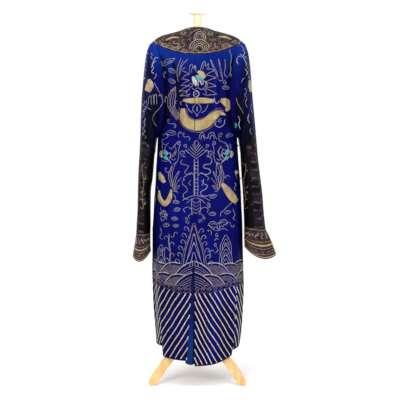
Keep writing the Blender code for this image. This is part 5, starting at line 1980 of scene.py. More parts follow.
@dataclass
class StandingWater:
    """The hem's design: slanting stripes below, billows, and hills of water that lean on the slit."""

    top: float = 0.395
    reach: float = 0.62
    left_step: float = 0.0248
    right_step: float = 0.0205
    inward: float = 0.0

    def level(self, x: Array) -> Array:
        """The height of the stripes' upper ends."""
        return self.top + 0.024 * smoothstep((np.abs(x) - 0.05) / 0.15)

    def stripes(self, side: int, step: float, slant: float, bend: float) -> list[Line]:
        """The stripes of one side, running down and outward.

        Args:
            side: 1 for positive distances and -1 for negative ones.
            step: the distance between stripes along the hem.
            slant: their slope in degrees.
            bend: how much steeper they start beside the slit.

        Returns:
            The stripes as lines.
        """
        deep = self.top - 0.07
        run = deep / math.tan(math.radians(slant))
        t = np.linspace(0, 1, 60)
        lines = []
        for k in range(int((self.reach + run) / step) + 2):
            straight = k * step - run + t * run
            x = np.maximum(straight, 1e-6)
            x = x * (x / 0.12) ** bend + 0.0010 * np.sin(t * 9.0 + k * 1.7) + 0.0008 * np.sin(t * 21.0 + k)
            keep = straight > 0.001
            if self.inward:
                x = self.inward - x
                keep &= x > 0.001
            z = self.level(x) - t * (deep + 0.02)
            lines += runs(np.stack((side * x, z), axis=1), keep)
        return lines

    def billows(self) -> list[Line]:
        """The row of curling wave heads above the stripes."""
        lines = []
        pitch = 0.0245
        for k in range(int(self.reach / pitch) + 1):
            x = (k + 0.55) * pitch
            z = float(self.level(x)) + 0.002 * math.sin(k * 2.3)
            lines.append(spiral(x, z + 0.014, 0.0078, 190 + 30 * math.sin(k), 1.2, -1 if k % 3 else 1))
            lines.append(arc(x, z + 0.012, 0.0115, 12, 168, 1.1))
            lines.append(arc(x + pitch / 2, z + 0.025, 0.0070, 10, 170, 1.0))
            lines.append(
                mm(((x - 0.011) / MM, z / MM + 4), (x / MM, z / MM + 1), ((x + 0.011) / MM, z / MM + 4))
            )
        return mirrored(lines)

    def hills(self) -> list[tuple[Line, float]]:
        """The hills' outlines from the front to the back, and the step of the lines in each."""
        found = []
        for level, start in ((484, 34), (529, 54)):
            found.append((mm((1, level), (32, level - 13), (56, level - 32), (77, level - 57)), 0.0098))
            for k in range(8):
                x, z = start + 73 * k, level - 15 + 4 * math.sin(k * 2.3 + level)
                found.append((mm((x, z), (x + 34, z + 3), (x + 66, z - 8), (x + 97, z - 40)), 0.0043))
        return found

    def draw(self, cloth: Worktop) -> None:
        """Draws the whole border on one side of the robe."""
        cloth.cords(Thread.STRIPE, self.stripes(1, self.right_step, 61.0, 0.13), STRIPE)
        cloth.cords(Thread.STRIPE, self.stripes(-1, self.left_step, 57.0, 0.03), STRIPE)
        billows = self.billows()
        cloth.cords(Thread.BROWN, billows[::4], MAIN)
        cloth.cords(Thread.LILAC, [line for k, line in enumerate(billows) if k % 4], FINE)
        for side in (1.0, -1.06):
            fronts: list[Line] = []
            for outline, step in self.hills():
                inner = [
                    outline - np.array([0.0, (k + 0.8) * step])
                    for k in range(1 if step > 0.006 else 2, int(0.062 / step))
                ]
                clear = float(self.top) + 0.028 if outline[0, 0] < 0.06 else float(self.top) + 0.048
                spread = np.array([side, 1.0])
                cloth.cords(Thread.PALE, [line * spread for line in shown([outline], fronts, clear)], BOLD)
                gauge = MAIN if step > 0.006 else FINE
                cloth.cords(Thread.LILAC, [line * spread for line in shown(inner, fronts, clear)], gauge)
                fronts.append(outline)


class Sprig(NamedTuple):
    """One small ornament: its kind, its place and size in millimetres, its turn and mirroring."""

    kind: str
    x: float
    z: float
    size: float
    turn: float = 0.0
    flip: bool = False


SPRIGS: dict[str, Callable[[], list[Line]]] = {
    "cloud": cloud,
    "eye": eye_cloud,
    "scroll": scroll,
    "hook": hook,
    "ripple": ripple,
    "bat": bat,
}


def sprigs(table: Sequence[Sprig]) -> list[Line]:
    """The lines of a table of small ornaments."""
    lines = []
    for sprig in table:
        lines += moved(
            SPRIGS[sprig.kind](), sprig.x * MM, sprig.z * MM, sprig.size * MM, sprig.turn, sprig.flip
        )
    return lines


Place = tuple[float, float]


@dataclass
class Figure:
    """Something drawn in millimetres, which can be mirrored and moved."""

    hand: int = 1
    shift: float = 0.0
    drop: float = 0.0

    def at(self, places: Sequence[Place]) -> list[Place]:
        """The places, mirrored and moved."""
        return [(self.hand * x + self.shift, z + self.drop) for x, z in places]

    def line(self, *places: Place, closed: bool = False) -> Line:
        """A smooth line through places."""
        return mm(*self.at(places), closed=closed)

    def curl(
        self, x: float, z: float, radius: float, start: float = 90, turns: float = 1.2, hand: int = 1
    ) -> Line:
        """A little spiral.

        Args:
            x: its middle, across.
            z: its middle, up.
            radius: its outer radius.
            start: the turn at which it starts, in degrees.
            turns: how many times it goes round.
            hand: 1, or -1 to wind the other way.

        Returns:
            The line.
        """
        ((x, z),) = self.at([(x, z)])
        return spiral(
            x * MM, z * MM, radius * MM, start if self.hand > 0 else 180 - start, turns, hand * self.hand
        )

    def leaf(self, width: float, *places: Place) -> Line:
        """A long narrow leaf about a middle line, pointed at its far end."""
        middle = resampled(self.line(*places), 0.004)
        ahead = unit(np.gradient(middle, axis=0))
        side = np.stack((-ahead[:, 1], ahead[:, 0]), axis=1)
        t = np.linspace(0, 1, len(middle))[:, None]
        half = width / 2 * MM * np.sin(np.pi * np.clip(t * 0.86 + 0.14, 0, 1)) ** 0.7
        return np.concatenate(
            (middle + side * half, (middle - side * half)[::-1], (middle + side * half)[:1])
        )

    def teeth(self, bases: Sequence[Place], tips: Sequence[Place]) -> list[Line]:
        """Long sharp teeth from one base to the next, by way of each tip."""
        lines = []
        for a, tip, b in zip(bases, tips, bases[1:]):
            lines.append(self.line(a, ((a[0] + tip[0]) / 2, (a[1] + tip[1]) / 2 + 3), tip))
            lines.append(self.line(tip, ((b[0] + tip[0]) / 2, (b[1] + tip[1]) / 2 + 2), b))
        return lines

    def lay(self, cloth: Worktop, halves: Sequence[float], *places: Place, thread: Thread = Thread.FILL,
            edge: Thread | None = Thread.GOLD, rise: float = 0.0020) -> None:
        """Lays a filling about a middle line."""
        cloth.lay(Filling(self.line(*places), [half * MM for half in halves], rise, thread, edge))


@dataclass
class FrontalDragon(Figure):
    """A coiled dragon seen full face: horns, mane, whiskers, claws and a crescent of body."""

    def face(self, cloth: Worktop) -> None:
        """The head, from the brow down to the chin."""
        self.lay(cloth, (5, 12, 7), (11, 1307), (24, 1297), (39, 1281))
        self.lay(
            cloth, (4, 9, 6), (3, 1288), (17, 1280), (33, 1270), thread=Thread.TURQUOISE, edge=Thread.WHITE
        )
        self.lay(cloth, (4, 8, 8, 2), (-10, 1286), (-5, 1274), (-1, 1262), (4, 1248), thread=Thread.WHITE)
        self.lay(
            cloth, (2, 4, 2), (-6, 1268), (-2, 1260), (2, 1251), thread=Thread.TURQUOISE, edge=None,
            rise=0.0030
        )
        self.lay(cloth, (2, 4, 2), (8, 1262), (12, 1254), (12, 1246), thread=Thread.CORAL, edge=None)
        nose = self.line(
            (14, 1246), (12, 1262), (21, 1269), (25, 1254), (31, 1254), (36, 1268), (45, 1260), (42, 1246)
        )
        teeth = [
            self.line((x, 1276 - 0.5 * x), (x + 2, 1270 - 0.5 * x), (x + 3, 1276 - 0.5 * x))
            for x in (6, 13, 20, 27)
        ]
        chin = [self.line((-7, 1215), (4, 1229), (17, 1216), (5, 1202), closed=True), self.curl(5, 1215, 5)]
        cloth.cords(Thread.WHITE, [nose, *chin[:1]], BOLD)
        cloth.cords(Thread.WHITE, teeth, MAIN)
        cheeks = [
            self.line((-18, 1262), (-26, 1250), (-16, 1243), (-10, 1250), (-16, 1258)),
            self.line((-14, 1240), (-2, 1233), (12, 1240), (26, 1233), (38, 1242)),
            self.line((-20, 1236), (-34, 1226), (-30, 1212), (-18, 1216)),
            self.line((34, 1236), (46, 1226), (44, 1212), (32, 1216)),
            self.line((44, 1262), (52, 1252), (46, 1242), (38, 1246)),
        ]
        cloth.cords(Thread.SILVER, cheeks + chin[1:], MAIN)

    def mane(self, cloth: Worktop) -> None:
        """Horns, flames and the mane's long teeth."""
        left = self.teeth(
            ((-40, 1322), (-24, 1296), (-24, 1270), (-26, 1248), (-30, 1226), (-24, 1206)),
            ((-55, 1309), (-58, 1276), (-60, 1249), (-67, 1226), (-62, 1207)),
        )
        right = self.teeth(
            ((46, 1318), (44, 1292), (42, 1264), (42, 1238), (44, 1208)),
            ((80, 1311), (85, 1280), (86, 1246), (92, 1213)),
        )
        flames = [
            self.line((-20, 1298), (-24, 1322), (-14, 1337), (-8, 1318), (0, 1332), (3, 1304)),
            self.line((-14, 1302), (-15, 1316), (-11, 1322)),
            self.line((20, 1306), (26, 1330), (38, 1349), (44, 1326), (54, 1340), (52, 1312)),
            self.line((30, 1312), (33, 1328), (38, 1334)),
        ]
        antlers = [
            self.line((-58, 1361), (-70, 1332), (-76, 1298), (-70, 1266)),
            self.line((-50, 1353), (-62, 1326), (-68, 1296)),
            self.line((-31, 1357), (-42, 1344), (-54, 1331), (-62, 1306), (-67, 1286)),
        ]
        cloth.cords(Thread.SILVER, left + right + flames[::2] + antlers, MAIN)
        cloth.cords(Thread.GOLD, flames[1::2])

    def claws(self, cloth: Worktop) -> None:
        """The raised claw on one side and the leaf of flame on the other."""
        lines = [
            self.leaf(5, (92, 1284), (78, 1318), (61, 1357)),
            self.leaf(5, (110, 1284), (104, 1318), (94, 1358)),
            self.line((121, 1358), (123, 1326), (119, 1298), (130, 1284), (138, 1286)),
            self.line((140, 1393), (148, 1366), (144, 1336), (146, 1312), (138, 1290)),
            self.line((92, 1284), (100, 1270), (112, 1272), (112, 1284)),
            self.curl(122, 1262, 8),
            self.line((148, 1288), (160, 1294), (168, 1302)),
        ]
        leaf = [
            self.line((-161, 1352), (-146, 1336), (-124, 1332), (-100, 1344), (-83, 1361)),
            self.line((-130, 1337), (-122, 1352), (-102, 1360), (-83, 1361)),
            self.line((-122, 1341), (-106, 1348), (-94, 1356)),
        ]
        cloth.cords(Thread.SILVER, lines + leaf, MAIN)

    def body(self, cloth: Worktop) -> None:
        """The gold crescent under the head, the bar over it and the tail."""
        coil = (
            (-50, 1156), (-47, 1124), (-28, 1097), (8, 1087), (44, 1096), (72, 1120), (98, 1139), (125, 1131)
        )
        self.lay(cloth, (9, 16, 19, 21, 20, 19, 13, 2), *coil, rise=0.0030, edge=Thread.BROWN)
        self.lay(
            cloth, (5, 10, 11, 11, 7), (-50, 1190), (-15, 1188), (20, 1189), (50, 1188), (76, 1187),
            edge=Thread.BROWN
        )
        self.lay(
            cloth, (7, 16, 15, 5), (105, 1190), (124, 1184), (137, 1168), (129, 1146), rise=0.0026,
            edge=Thread.BROWN
        )
        line = resampled(self.line(*coil), 0.016)
        scales = []
        for a, b in zip(line[1:-3], line[2:-2]):
            across = np.array([-(b - a)[1], (b - a)[0]]) * 0.95
            scales.append(
                np.array([a - across, (a + b) / 2 - across * 0.4, (a + b) / 2 + across * 0.4, a + across])
            )
        cloth.cords(Thread.GOLD, scales)
        rim = [
            self.line((-64, 1160), (-68, 1122), (-48, 1084), (-8, 1062), (34, 1062), (70, 1082), (92, 1106)),
            self.line(
                (-34, 1152), (-26, 1126), (-6, 1112), (14, 1112), (44, 1122), (70, 1144), (98, 1158),
                (118, 1146)
            ),
        ]
        tail = [
            self.line(
                (-82 - 2 * k, 1248 - 3 * k), (-80 - 7 * k, 1210), (-84 - 7 * k, 1172), (-74 - 6 * k, 1142),
                (-58 - 4 * k, 1124 - 4 * k)
            )
            for k in range(5)
        ]
        cloth.cords(Thread.BROWN, rim + tail[1:2], MAIN)
        cloth.cords(Thread.GOLD, tail[::2], MAIN)
        cloth.cords(Thread.SILVER, tail[3:4], MAIN)
        lotus = [
            self.line((9, 1180), (-4, 1168), (-9, 1152), (2, 1138), (9, 1124)),
            self.line((9, 1180), (21, 1168), (26, 1152), (16, 1138), (9, 1124)),
            self.line((-36, 1178), (-30, 1160), (-20, 1146), (-9, 1138)),
            self.line((54, 1172), (48, 1158), (38, 1146), (27, 1138)),
            self.line((9, 1164), (9, 1144)),
        ]
        cloth.cords(Thread.SILVER, lotus[:4], MAIN)
        ends = [
            self.line((78, 1200), (82, 1182), (92, 1177), (101, 1190)),
            self.line((82, 1106), (86, 1088), (102, 1080), (120, 1092), (124, 1112)),
        ]
        cloth.cords(Thread.WHITE, ends + [lotus[4]], MAIN)
        cloth.cords(
            Thread.SILVER, [self.curl(104, 1106, 10, 60), self.line((-52, 1186), (-62, 1180), (-56, 1170))],
            MAIN
        )

    def draw(self, cloth: Worktop) -> None:
        """Draws the whole dragon."""
        self.body(cloth)
        self.face(cloth)
        self.mane(cloth)
        self.claws(cloth)


@dataclass
class SideDragon(Figure):
    """A dragon in profile facing the middle, its gold body in pieces among the clouds."""

    coiled: bool = True

    def head(self, cloth: Worktop) -> None:
        """The turquoise head with its open white jaw and gold cheek."""
        self.lay(
            cloth, (4, 8, 4), (-131, 983), (-122, 975), (-113, 966), thread=Thread.TURQUOISE,
            edge=Thread.WHITE
        )
        self.lay(
            cloth, (3, 6, 2), (-128, 957), (-119, 953), (-110, 948), thread=Thread.TURQUOISE,
            edge=Thread.WHITE
        )
        self.lay(cloth, (3, 7, 4), (-139, 982), (-141, 968), (-136, 954))
        jaw = [
            self.line((-112, 970), (-103, 974), (-98, 964), (-104, 955)),
            self.line((-112, 946), (-103, 940), (-97, 930))
        ]
        horns = [
            self.line((-134, 986), (-137, 1000), (-130, 1012)),
            self.line((-124, 986), (-122, 1000), (-113, 1006))
        ]
        whisker = [
            self.line((-96, 962), (-86, 970), (-82, 984)), self.line((-98, 950), (-86, 944), (-78, 952))
        ]
        cloth.cords(Thread.WHITE, jaw, MAIN)
        cloth.cords(Thread.SILVER, horns + whisker, MAIN)

    def fan(self, cloth: Worktop) -> None:
        """The fan of the wing-like mane under the head."""
        base = (-89, 826)
        tips = ((-92, 922), (-77, 937), (-62, 901), (-54, 872), (-60, 841), (-70, 812))
        lines = []
        for k, tip in enumerate(tips):
            root = (base[0] + 2.5 * k - 4, base[1] + 9 - 4 * k)
            middle = ((root[0] + tip[0]) / 2 - 11 + 3 * k, (root[1] + tip[1]) / 2 + 3)
            lines.append(self.line(root, middle, tip) if k % 2 else self.leaf(8, root, middle, tip))
        cloth.cords(Thread.SILVER, lines[::2], MAIN)
        cloth.cords(Thread.GOLD, lines[1::2])

    def body(self, cloth: Worktop) -> None:
        """The gold coils, with claws."""
        if self.coiled:
            self.lay(
                cloth, (3, 9, 10, 9, 3), (-148, 816), (-144, 784), (-124, 762), (-104, 784), (-95, 824),
                rise=0.0024
            )
            self.lay(cloth, (5, 12, 6), (-146, 892), (-138, 870), (-124, 850), rise=0.0024)
            claw = [
                self.line((-92, 806), (-80, 796), (-77, 780)), self.line((-90, 814), (-76, 818), (-68, 808))
            ]
        else:
            self.lay(cloth, (6, 14, 16, 9), (-100, 848), (-122, 820), (-146, 788), (-170, 762), rise=0.0024)
            self.lay(cloth, (4, 7, 4), (-178, 824), (-174, 800), (-168, 782), rise=0.0024)
            self.lay(cloth, (5, 11, 7), (-158, 898), (-170, 880), (-178, 858), rise=0.0024)
            claw = [
                self.line((-170, 788), (-138, 764), (-100, 730)),
                self.line((-104, 734), (-94, 724), (-96, 712))
            ]
        flame = [self.line((-154, 850), (-160, 838), (-153, 828), (-158, 816))]
        cloth.cords(Thread.SILVER, claw + flame, MAIN)

    def draw(self, cloth: Worktop) -> None:
        """Draws the whole dragon."""
        self.head(cloth)
        self.fan(cloth)
        self.body(cloth)


@dataclass
class CentreColumn(Figure):
    """The meander, chevrons, ladder, knots and branches down the middle, about x = 7."""

    def both(self, *places: Place) -> list[Line]:
        """A line and its reflection across the column."""
        return [self.line(*places), self.line(*[(14 - x, z) for x, z in places])]

    def curls(self, x: float, z: float, radius: float, start: float) -> list[Line]:
        """A spiral and its reflection across the column."""
        return [self.curl(x, z, radius, start), self.curl(14 - x, z, radius, 180 - start, 1.2, -1)]

    def sweeps(self, cloth: Worktop) -> None:
        """The long winding cloud lines on either side."""
        left = [
            self.line(
                (-136, 1046), (-120, 1052), (-110, 1042), (-122, 1032), (-136, 1026), (-132, 1012),
                (-116, 1008), (-108, 1016)
            ),
            self.line((-106, 998), (-96, 990), (-84, 1004), (-72, 1016), (-58, 1020)),
            self.line((-100, 956), (-84, 962), (-76, 984), (-82, 1002)),
            self.line((-138, 944), (-120, 938), (-104, 948), (-98, 968)),
            self.line((-142, 746), (-132, 722), (-112, 718)),
            self.line((-130, 736), (-122, 706), (-134, 690), (-140, 704)),
            self.line((-142, 662), (-136, 642), (-144, 622), (-134, 612)),
        ]
        right = [
            self.curl(106, 1046, 10, 20),
            self.line((98, 1040), (104, 1024), (128, 1014), (142, 996), (128, 984), (112, 992)),
            self.line((112, 1002), (100, 984), (104, 958), (118, 940), (132, 950)),
            self.line((138, 944), (120, 952), (112, 974), (122, 992)),
            self.line((106, 928), (94, 934), (90, 912), (92, 886)),
            self.line((106, 928), (114, 914), (108, 894), (98, 872)),
            self.line((160, 740), (170, 716), (162, 700), (174, 692)),
            self.line((62, 678), (78, 660), (98, 654), (120, 662), (140, 652)),
        ]
        cloth.cords(Thread.SILVER, left + right, MAIN)

    def draw(self, cloth: Worktop) -> None:
        """Draws the column."""
        self.sweeps(cloth)
        lines = [
            self.line(
                (18, 1031), (23, 1052), (35, 1057), (43, 1038), (54, 1036), (60, 1054), (76, 1059),
                (84, 1044), (92, 1029)
            )
        ]
        lines += [
            self.line((24, 1028), (29, 1044), (35, 1046), (40, 1028)),
            self.line((62, 1030), (67, 1046), (76, 1047), (82, 1030))
        ]
        for k in range(4):
            lines.append(
                np.array(
                    self.at([(-37 + 9 * k, 985 + 8 * k), (7, 951 + 11 * k), (51 - 9 * k, 985 + 8 * k)])
                ) * MM
            )
        lines += self.both((7, 1027), (-3, 1014), (7, 998))
        lines += self.curls(-40, 1003, 9, 280) + self.curls(-53, 974, 12, 300)
        lines += self.both((-28, 986), (-40, 984), (-44, 978)) + self.both((-36, 958), (-48, 960), (-58, 966))
        lines += self.curls(-66, 1014, 9, 40) + self.both(
            (-58, 1012), (-66, 990), (-66, 958), (-74, 936), (-90, 926)
        )
        lines += self.both((0, 948), (-1, 910), (0, 872), (-1, 835), (0, 797))
        lines += [self.line((0, z), (15, z)) for z in (936, 922, 908, 893, 866, 852, 838, 824, 810)]
        lines.append(
            self.line(
                (-50, 948), (-57, 932), (-40, 926), (-25, 920), (-34, 904), (-40, 892), (-22, 886), (-8, 894)
            )
        )
        lines.append(
            self.line((-44, 866), (-50, 848), (-36, 836), (-28, 820), (-44, 806), (-44, 790), (-24, 784))
        )
        wide = [
            self.line(
                (50, 964), (70, 950), (66, 930), (42, 926), (38, 914), (60, 908), (66, 896), (50, 886),
                (26, 892)
            ),
            self.line((38, 868), (36, 850), (54, 840), (46, 826), (28, 816), (30, 800), (52, 798), (66, 804)),
        ]
        cloth.cords(Thread.SILVER, wide, BOLD)
        lines += self.both((0, 880), (-14, 893), (-30, 884), (-44, 872), (-40, 862))
        lines += self.both((-14, 862), (-22, 852), (-16, 840))
        lines += self.both((6, 800), (-20, 794), (-50, 779))
        lines += self.both((6, 790), (-14, 783), (-32, 768))
        lines += self.both((-10, 784), (-12, 750), (-8, 720))
        lines += self.both((-10, 744), (-30, 752), (-44, 742), (-38, 730))
        lines += self.both((-9, 726), (-24, 716), (-20, 704))
        cloth.cords(Thread.SILVER, lines, MAIN)
        lattice = [self.line((-10, z), (7, z - 12), (24, z)) for z in (780, 766, 752, 738)]
        cloth.cords(Thread.GOLD, lattice + [self.curl(-30, 704, 7), self.curl(40, 706, 7, 90, 1.2, -1)], FINE)


@dataclass
class Peaks(Figure):
    """The mountains that stand out of the water, with the curls and coral beside them."""

    def peak(self, x: float, apex: float, half: float, foot: float, nested: int, step: float) -> list[Line]:
        """Nested peaks with steep feet, the outer one first.

        Args:
            x: the middle of its foot.
            apex: the height of its tip.
            half: half its width at the foot.
            foot: the height of its foot.
            nested: how many outlines it has.
            step: how far apart they lie.

        Returns:
            The outlines.
        """
        lines = []
        for k in range(nested):
            w, top = half - step * k, apex - 2.8 * step * k
            knee = top - 0.30 * (top - foot) - half
            side = [
                (0, top), (0.40 * w, top - 0.46 * (top - knee)), (0.86 * w, knee), (w + 3, (knee + foot) / 2),
                (w + 6, foot)
            ]
            lines.append(self.line(*[(x - a, z) for a, z in side[:0:-1]], *[(x + a, z) for a, z in side]))
        return lines

    def gable(self, x: float, apex: float, half: float, foot: float, nested: int, step: float) -> list[Line]:
        """Nested gables with upright sides, the outer one first.

        Args:
            x: the middle of its foot.
            apex: the height of its tip.
            half: half its width at the foot.
            foot: the height of its foot.
            nested: how many outlines it has.
            step: how far apart they lie.

        Returns:
            The outlines.
        """
        lines = []
        for k in range(nested):
            w, top = half - step * k, apex - 1.7 * step * k
            side = [
                (0, top), (0.45 * w, top - 0.6 * w), (0.92 * w, top - 1.7 * w), (w, top - 2.6 * w),
                (w + 1, foot)
            ]
            lines.append(self.line(*[(x - a, z) for a, z in side[:0:-1]], *[(x + a, z) for a, z in side]))
        return lines

    def crests(self) -> list[Line]:
        """The combs of curling crests up both flanks of the middle mountain."""
        lines = []
        for side in (-1, 1):
            for k in range(6):
                x, z = -1 + side * (20 + 7.0 * k + 3 * (k % 2)), 664 - 27 * k - (8 if side > 0 else 0)
                lines.append(
                    self.line(
                        (x, z - 12), (x + side * 4, z + 2), (x + side * 15, z + 7), (x + side * 20, z - 3),
                        (x + side * 12, z - 7)
                    )
                )
        return lines

    def draw(self, cloth: Worktop) -> None:
        """Draws the mountains."""
        cloth.cords(Thread.SILVER, shown(self.crests(), [], 0.508), MAIN)
        low = self.peak(-1, 602, 36, 470, 3, 12)
        tall = self.peak(-1, 677, 40, 470, 3, 12)
        cloth.cords(Thread.SILVER, shown(low, [], 0.505) + shown(tall, low[:1], 0.505), MAIN)
        cloth.cords(Thread.BROWN, shown(self.peak(-1, 688, 47, 470, 1, 12), [], 0.505), FINE)
        for x, top, half in ((131, 634, 24), (-139, 590, 14)):
            fronts: list[Line] = []
            for drop, wider in ((84, 6), (42, 3), (0, 0)):
                tier = self.gable(x, top - drop, half + wider, 470, 3, 9.5)
                cloth.cords(Thread.SILVER, shown(tier, fronts, 0.508), MAIN)
                fronts.append(tier[0])
        curls = [
            self.curl(-30, 690, 9, 300), self.curl(27, 695, 9, 240, 1.2, -1), self.curl(95, 635, 8),
            self.curl(89, 594, 8, 60),
            self.line((86, 560), (98, 572), (92, 586)), self.line((70, 548), (64, 566), (76, 574), (82, 566)),
            self.line((84, 612), (92, 622), (100, 616)),
        ]
        stem = [self.line((-104, 640), (-107, 606), (-101, 562), (-105, 508))]
        for k, z in enumerate((524, 546, 568, 592, 616)):
            side = 1 if k % 2 else -1
            stem.append(
                self.line(
                    (-104, z), (-104 + side * 10, z + 12), (-104 + side * 20, z + 9),
                    (-104 + side * 18, z - 1)
                )
            )
        cloth.cords(Thread.SILVER, curls + stem, MAIN)
        cloth.cords(Thread.CORAL, [self.line((-101, 636), (-104, 606), (-98, 562), (-102, 508))], FINE)


BACK_SPRIGS = (
    Sprig("eye", -95, 1310, 30, -30),
    Sprig("eye", -95, 1268, 30, -34),
    Sprig("hook", -128, 1296, 26, 20),
    Sprig("eye", 126, 1242, 30, -4),
    Sprig("hook", -124, 1196, 28, 10),
    Sprig("scroll", -96, 1096, 34, 70),
    Sprig("eye", -98, 1056, 40, -8),
    Sprig("scroll", -34, 1042, 30, 70),
    Sprig("hook", -64, 1052, 26, 0),
    Sprig("eye", 144, 1046, 30, 10),
    Sprig("eye", -75, 772, 26, -10),
    Sprig("eye", -71, 741, 28, 8),
    Sprig("eye", -81, 703, 26, -6),
    Sprig("eye", -116, 674, 28, 10),
    Sprig("eye", -76, 674, 24, 0),
    Sprig("eye", 78, 796, 30, 12),
    Sprig("eye", 75, 724, 30, -8),
    Sprig("eye", 138, 728, 28, 6),
    Sprig("bat", 99, 676, 42, 8),
    Sprig("cloud", -128, 716, 30, -10),
    Sprig("hook", 66, 650, 26, 10, True),
    Sprig("scroll", -82, 636, 26, -30),
    Sprig("scroll", 150, 676, 28, 40, True),
    Sprig("ripple", -82, 1172, 12, 70),
    Sprig("hook", -116, 900, 28, 60),
    Sprig("hook", 134, 876, 26, 80, True),
    Sprig("eye", 60, 760, 24, -70),
)
FRONT_SPRIGS = (
    Sprig("scroll", -150, 1050, 36, 20),
    Sprig("cloud", 150, 1050, 34, -10),
    Sprig("hook", -190, 1000, 30, 0),
    Sprig("eye", 190, 1000, 34, 0),
    Sprig("scroll", -206, 930, 36, 30),
    Sprig("scroll", 200, 930, 36, -30, True),
    Sprig("hook", -220, 860, 32, 0),
    Sprig("hook", 216, 860, 32, 0, True),
    Sprig("bat", -196, 700, 40, -8),
    Sprig("bat", 196, 700, 40, 8),
    Sprig("cloud", -250, 790, 34, 0),
    Sprig("cloud", 250, 770, 34, 0),
    Sprig("scroll", -244, 640, 34, 0),
    Sprig("scroll", 240, 640, 34, 0, True),
    Sprig("eye", -200, 620, 30, 0),
    Sprig("eye", 200, 630, 30, 0),
    Sprig("eye", -262, 940, 30, 20),
    Sprig("hook", 262, 940, 30, 0),
    Sprig("hook", -230, 560, 28, 0),
    Sprig("eye", 230, 560, 28, -20),
)


@dataclass
class SleeveWork(Figure):
    """A sleeve's dragon and scrolls as seen from behind, in millimetres; the front has them too."""

    side: str = "left"

    def draw(self, cloth: Worktop) -> None:
        """Draws the left sleeve's gold, fan, long line and edge scrolls, or the right sleeve's."""
        if self.side == "left":
            self.lay(
                cloth, (5, 17, 12), (-188, 1276), (-186, 1252), (-196, 1228), edge=Thread.WHITE, rise=0.0024
            )
            fan = [
                self.line(
                    (-192 + 13 * k, 1174), (-191 + 12 * k, 1200 + 3 * k), (-182 + 12 * k, 1208 + 2 * k),
                    (-180 + 12 * k, 1172)
                )
                for k in range(3)
            ]
            fan.append(self.line((-200, 1192), (-196, 1162), (-180, 1150)))
            long = self.line(
                (-167, 1262), (-146, 1222), (-133, 1188), (-143, 1162), (-174, 1118), (-156, 1078)
            )
            squiggles = [
                self.line(
                    (-150, 1366), (-166, 1362), (-170, 1350), (-176, 1336), (-170, 1322), (-178, 1308),
                    (-168, 1298)
                ),
                self.line((-161, 1352), (-172, 1340), (-180, 1324)),
                self.line((-158, 1300), (-162, 1284), (-170, 1276)),
                self.line((-184, 1386), (-176, 1376), (-182, 1366), (-174, 1360)),
                self.line((-150, 1206), (-140, 1214), (-132, 1204)),
            ]
            edges = [
                self.line(
                    (-203 - 2 * k, 1392 - 17 * k), (-196 - 2 * k, 1384 - 17 * k),
                    (-206 - 2 * k, 1379 - 17 * k)
                )
                for k in range(7)
            ]
            for k in range(7):
                x, z, w = -212 + 4 * math.sin(k * 2.4), 1190 - 24 * k, 6 + 2 * math.sin(k * 1.7)
                edges.append(self.line((x, z), (x + w, z - 7), (x - w, z - 12 - w), (x + 2, z - 22)))
            cloth.cords(Thread.SILVER, [*fan, long], MAIN)
            cloth.cords(Thread.WHITE, squiggles[:2] + edges[::2], MAIN)
            cloth.cords(Thread.SILVER, squiggles[2:] + edges[1::2], MAIN)
        else:
            self.lay(cloth, (3, 9, 5), (226, 1274), (230, 1252), (232, 1226), edge=Thread.WHITE, rise=0.0024)
            pale = [
                self.line((186, 1380), (198, 1368), (208, 1348), (212, 1330)),
                self.line((174, 1364), (172, 1350), (178, 1338)),
                self.line((196, 1400), (206, 1386), (200, 1376), (212, 1366)),
                self.line((206, 1320), (216, 1304), (210, 1292)),
                self.line((177, 1126), (184, 1110), (180, 1090), (186, 1072)),
                self.line((222, 1134), (218, 1112), (226, 1096)),
            ]
            grey = [
                self.line((188, 1420), (198, 1410), (206, 1398)),
                self.line((192, 1366), (182, 1372), (176, 1366)),
                self.line((204, 1240), (212, 1226), (204, 1214), (212, 1202)),
                self.line((214, 1200), (208, 1180), (216, 1160)),
                self.line((168, 1200), (176, 1176), (190, 1152), (200, 1134)),
                self.line((190, 1262), (196, 1276), (206, 1282)),
                self.line((236, 1180), (230, 1160), (238, 1140)),
                self.line((232, 1076), (226, 1062), (236, 1050)),
            ]
            edges = [
                self.line(
                    (214 + 3 * k, 1372 - 20 * k), (208 + 3 * k, 1364 - 20 * k), (218 + 3 * k, 1358 - 20 * k)
                )
                for k in range(5)
            ]
            cloth.cords(Thread.WHITE, pale, MAIN)
            cloth.cords(Thread.SILVER, grey + edges, MAIN)
            self.lay(
                cloth, (2, 5, 2), (166, 1098), (170, 1088), (168, 1076), thread=Thread.TURQUOISE, edge=None
            )


@dataclass
class Branch(Figure):
    """A thin gold branch down a lower sleeve."""

    def draw(self, cloth: Worktop) -> None:
        """Draws the trunk and its twigs."""
        lines = [self.line(*[(4 * math.sin(z * 0.05), z) for z in range(932, 716, -24)])]
        for k, z in enumerate((920, 894, 850, 822, 796, 776, 752, 736)):
            out = 13 if k % 2 else -11
            lines.append(
                self.line((2 * math.sin(k), z), (out * 0.6, z + 6 - 2 * (k % 3)), (out, z + 14 - 5 * (k % 3)))
            )
        lines += [self.curl(-8, 866, 6), self.curl(7, 806, 6, 200, 1.2, -1), self.curl(-6, 762, 7, 40)]
        cloth.cords(Thread.GOLD, lines)


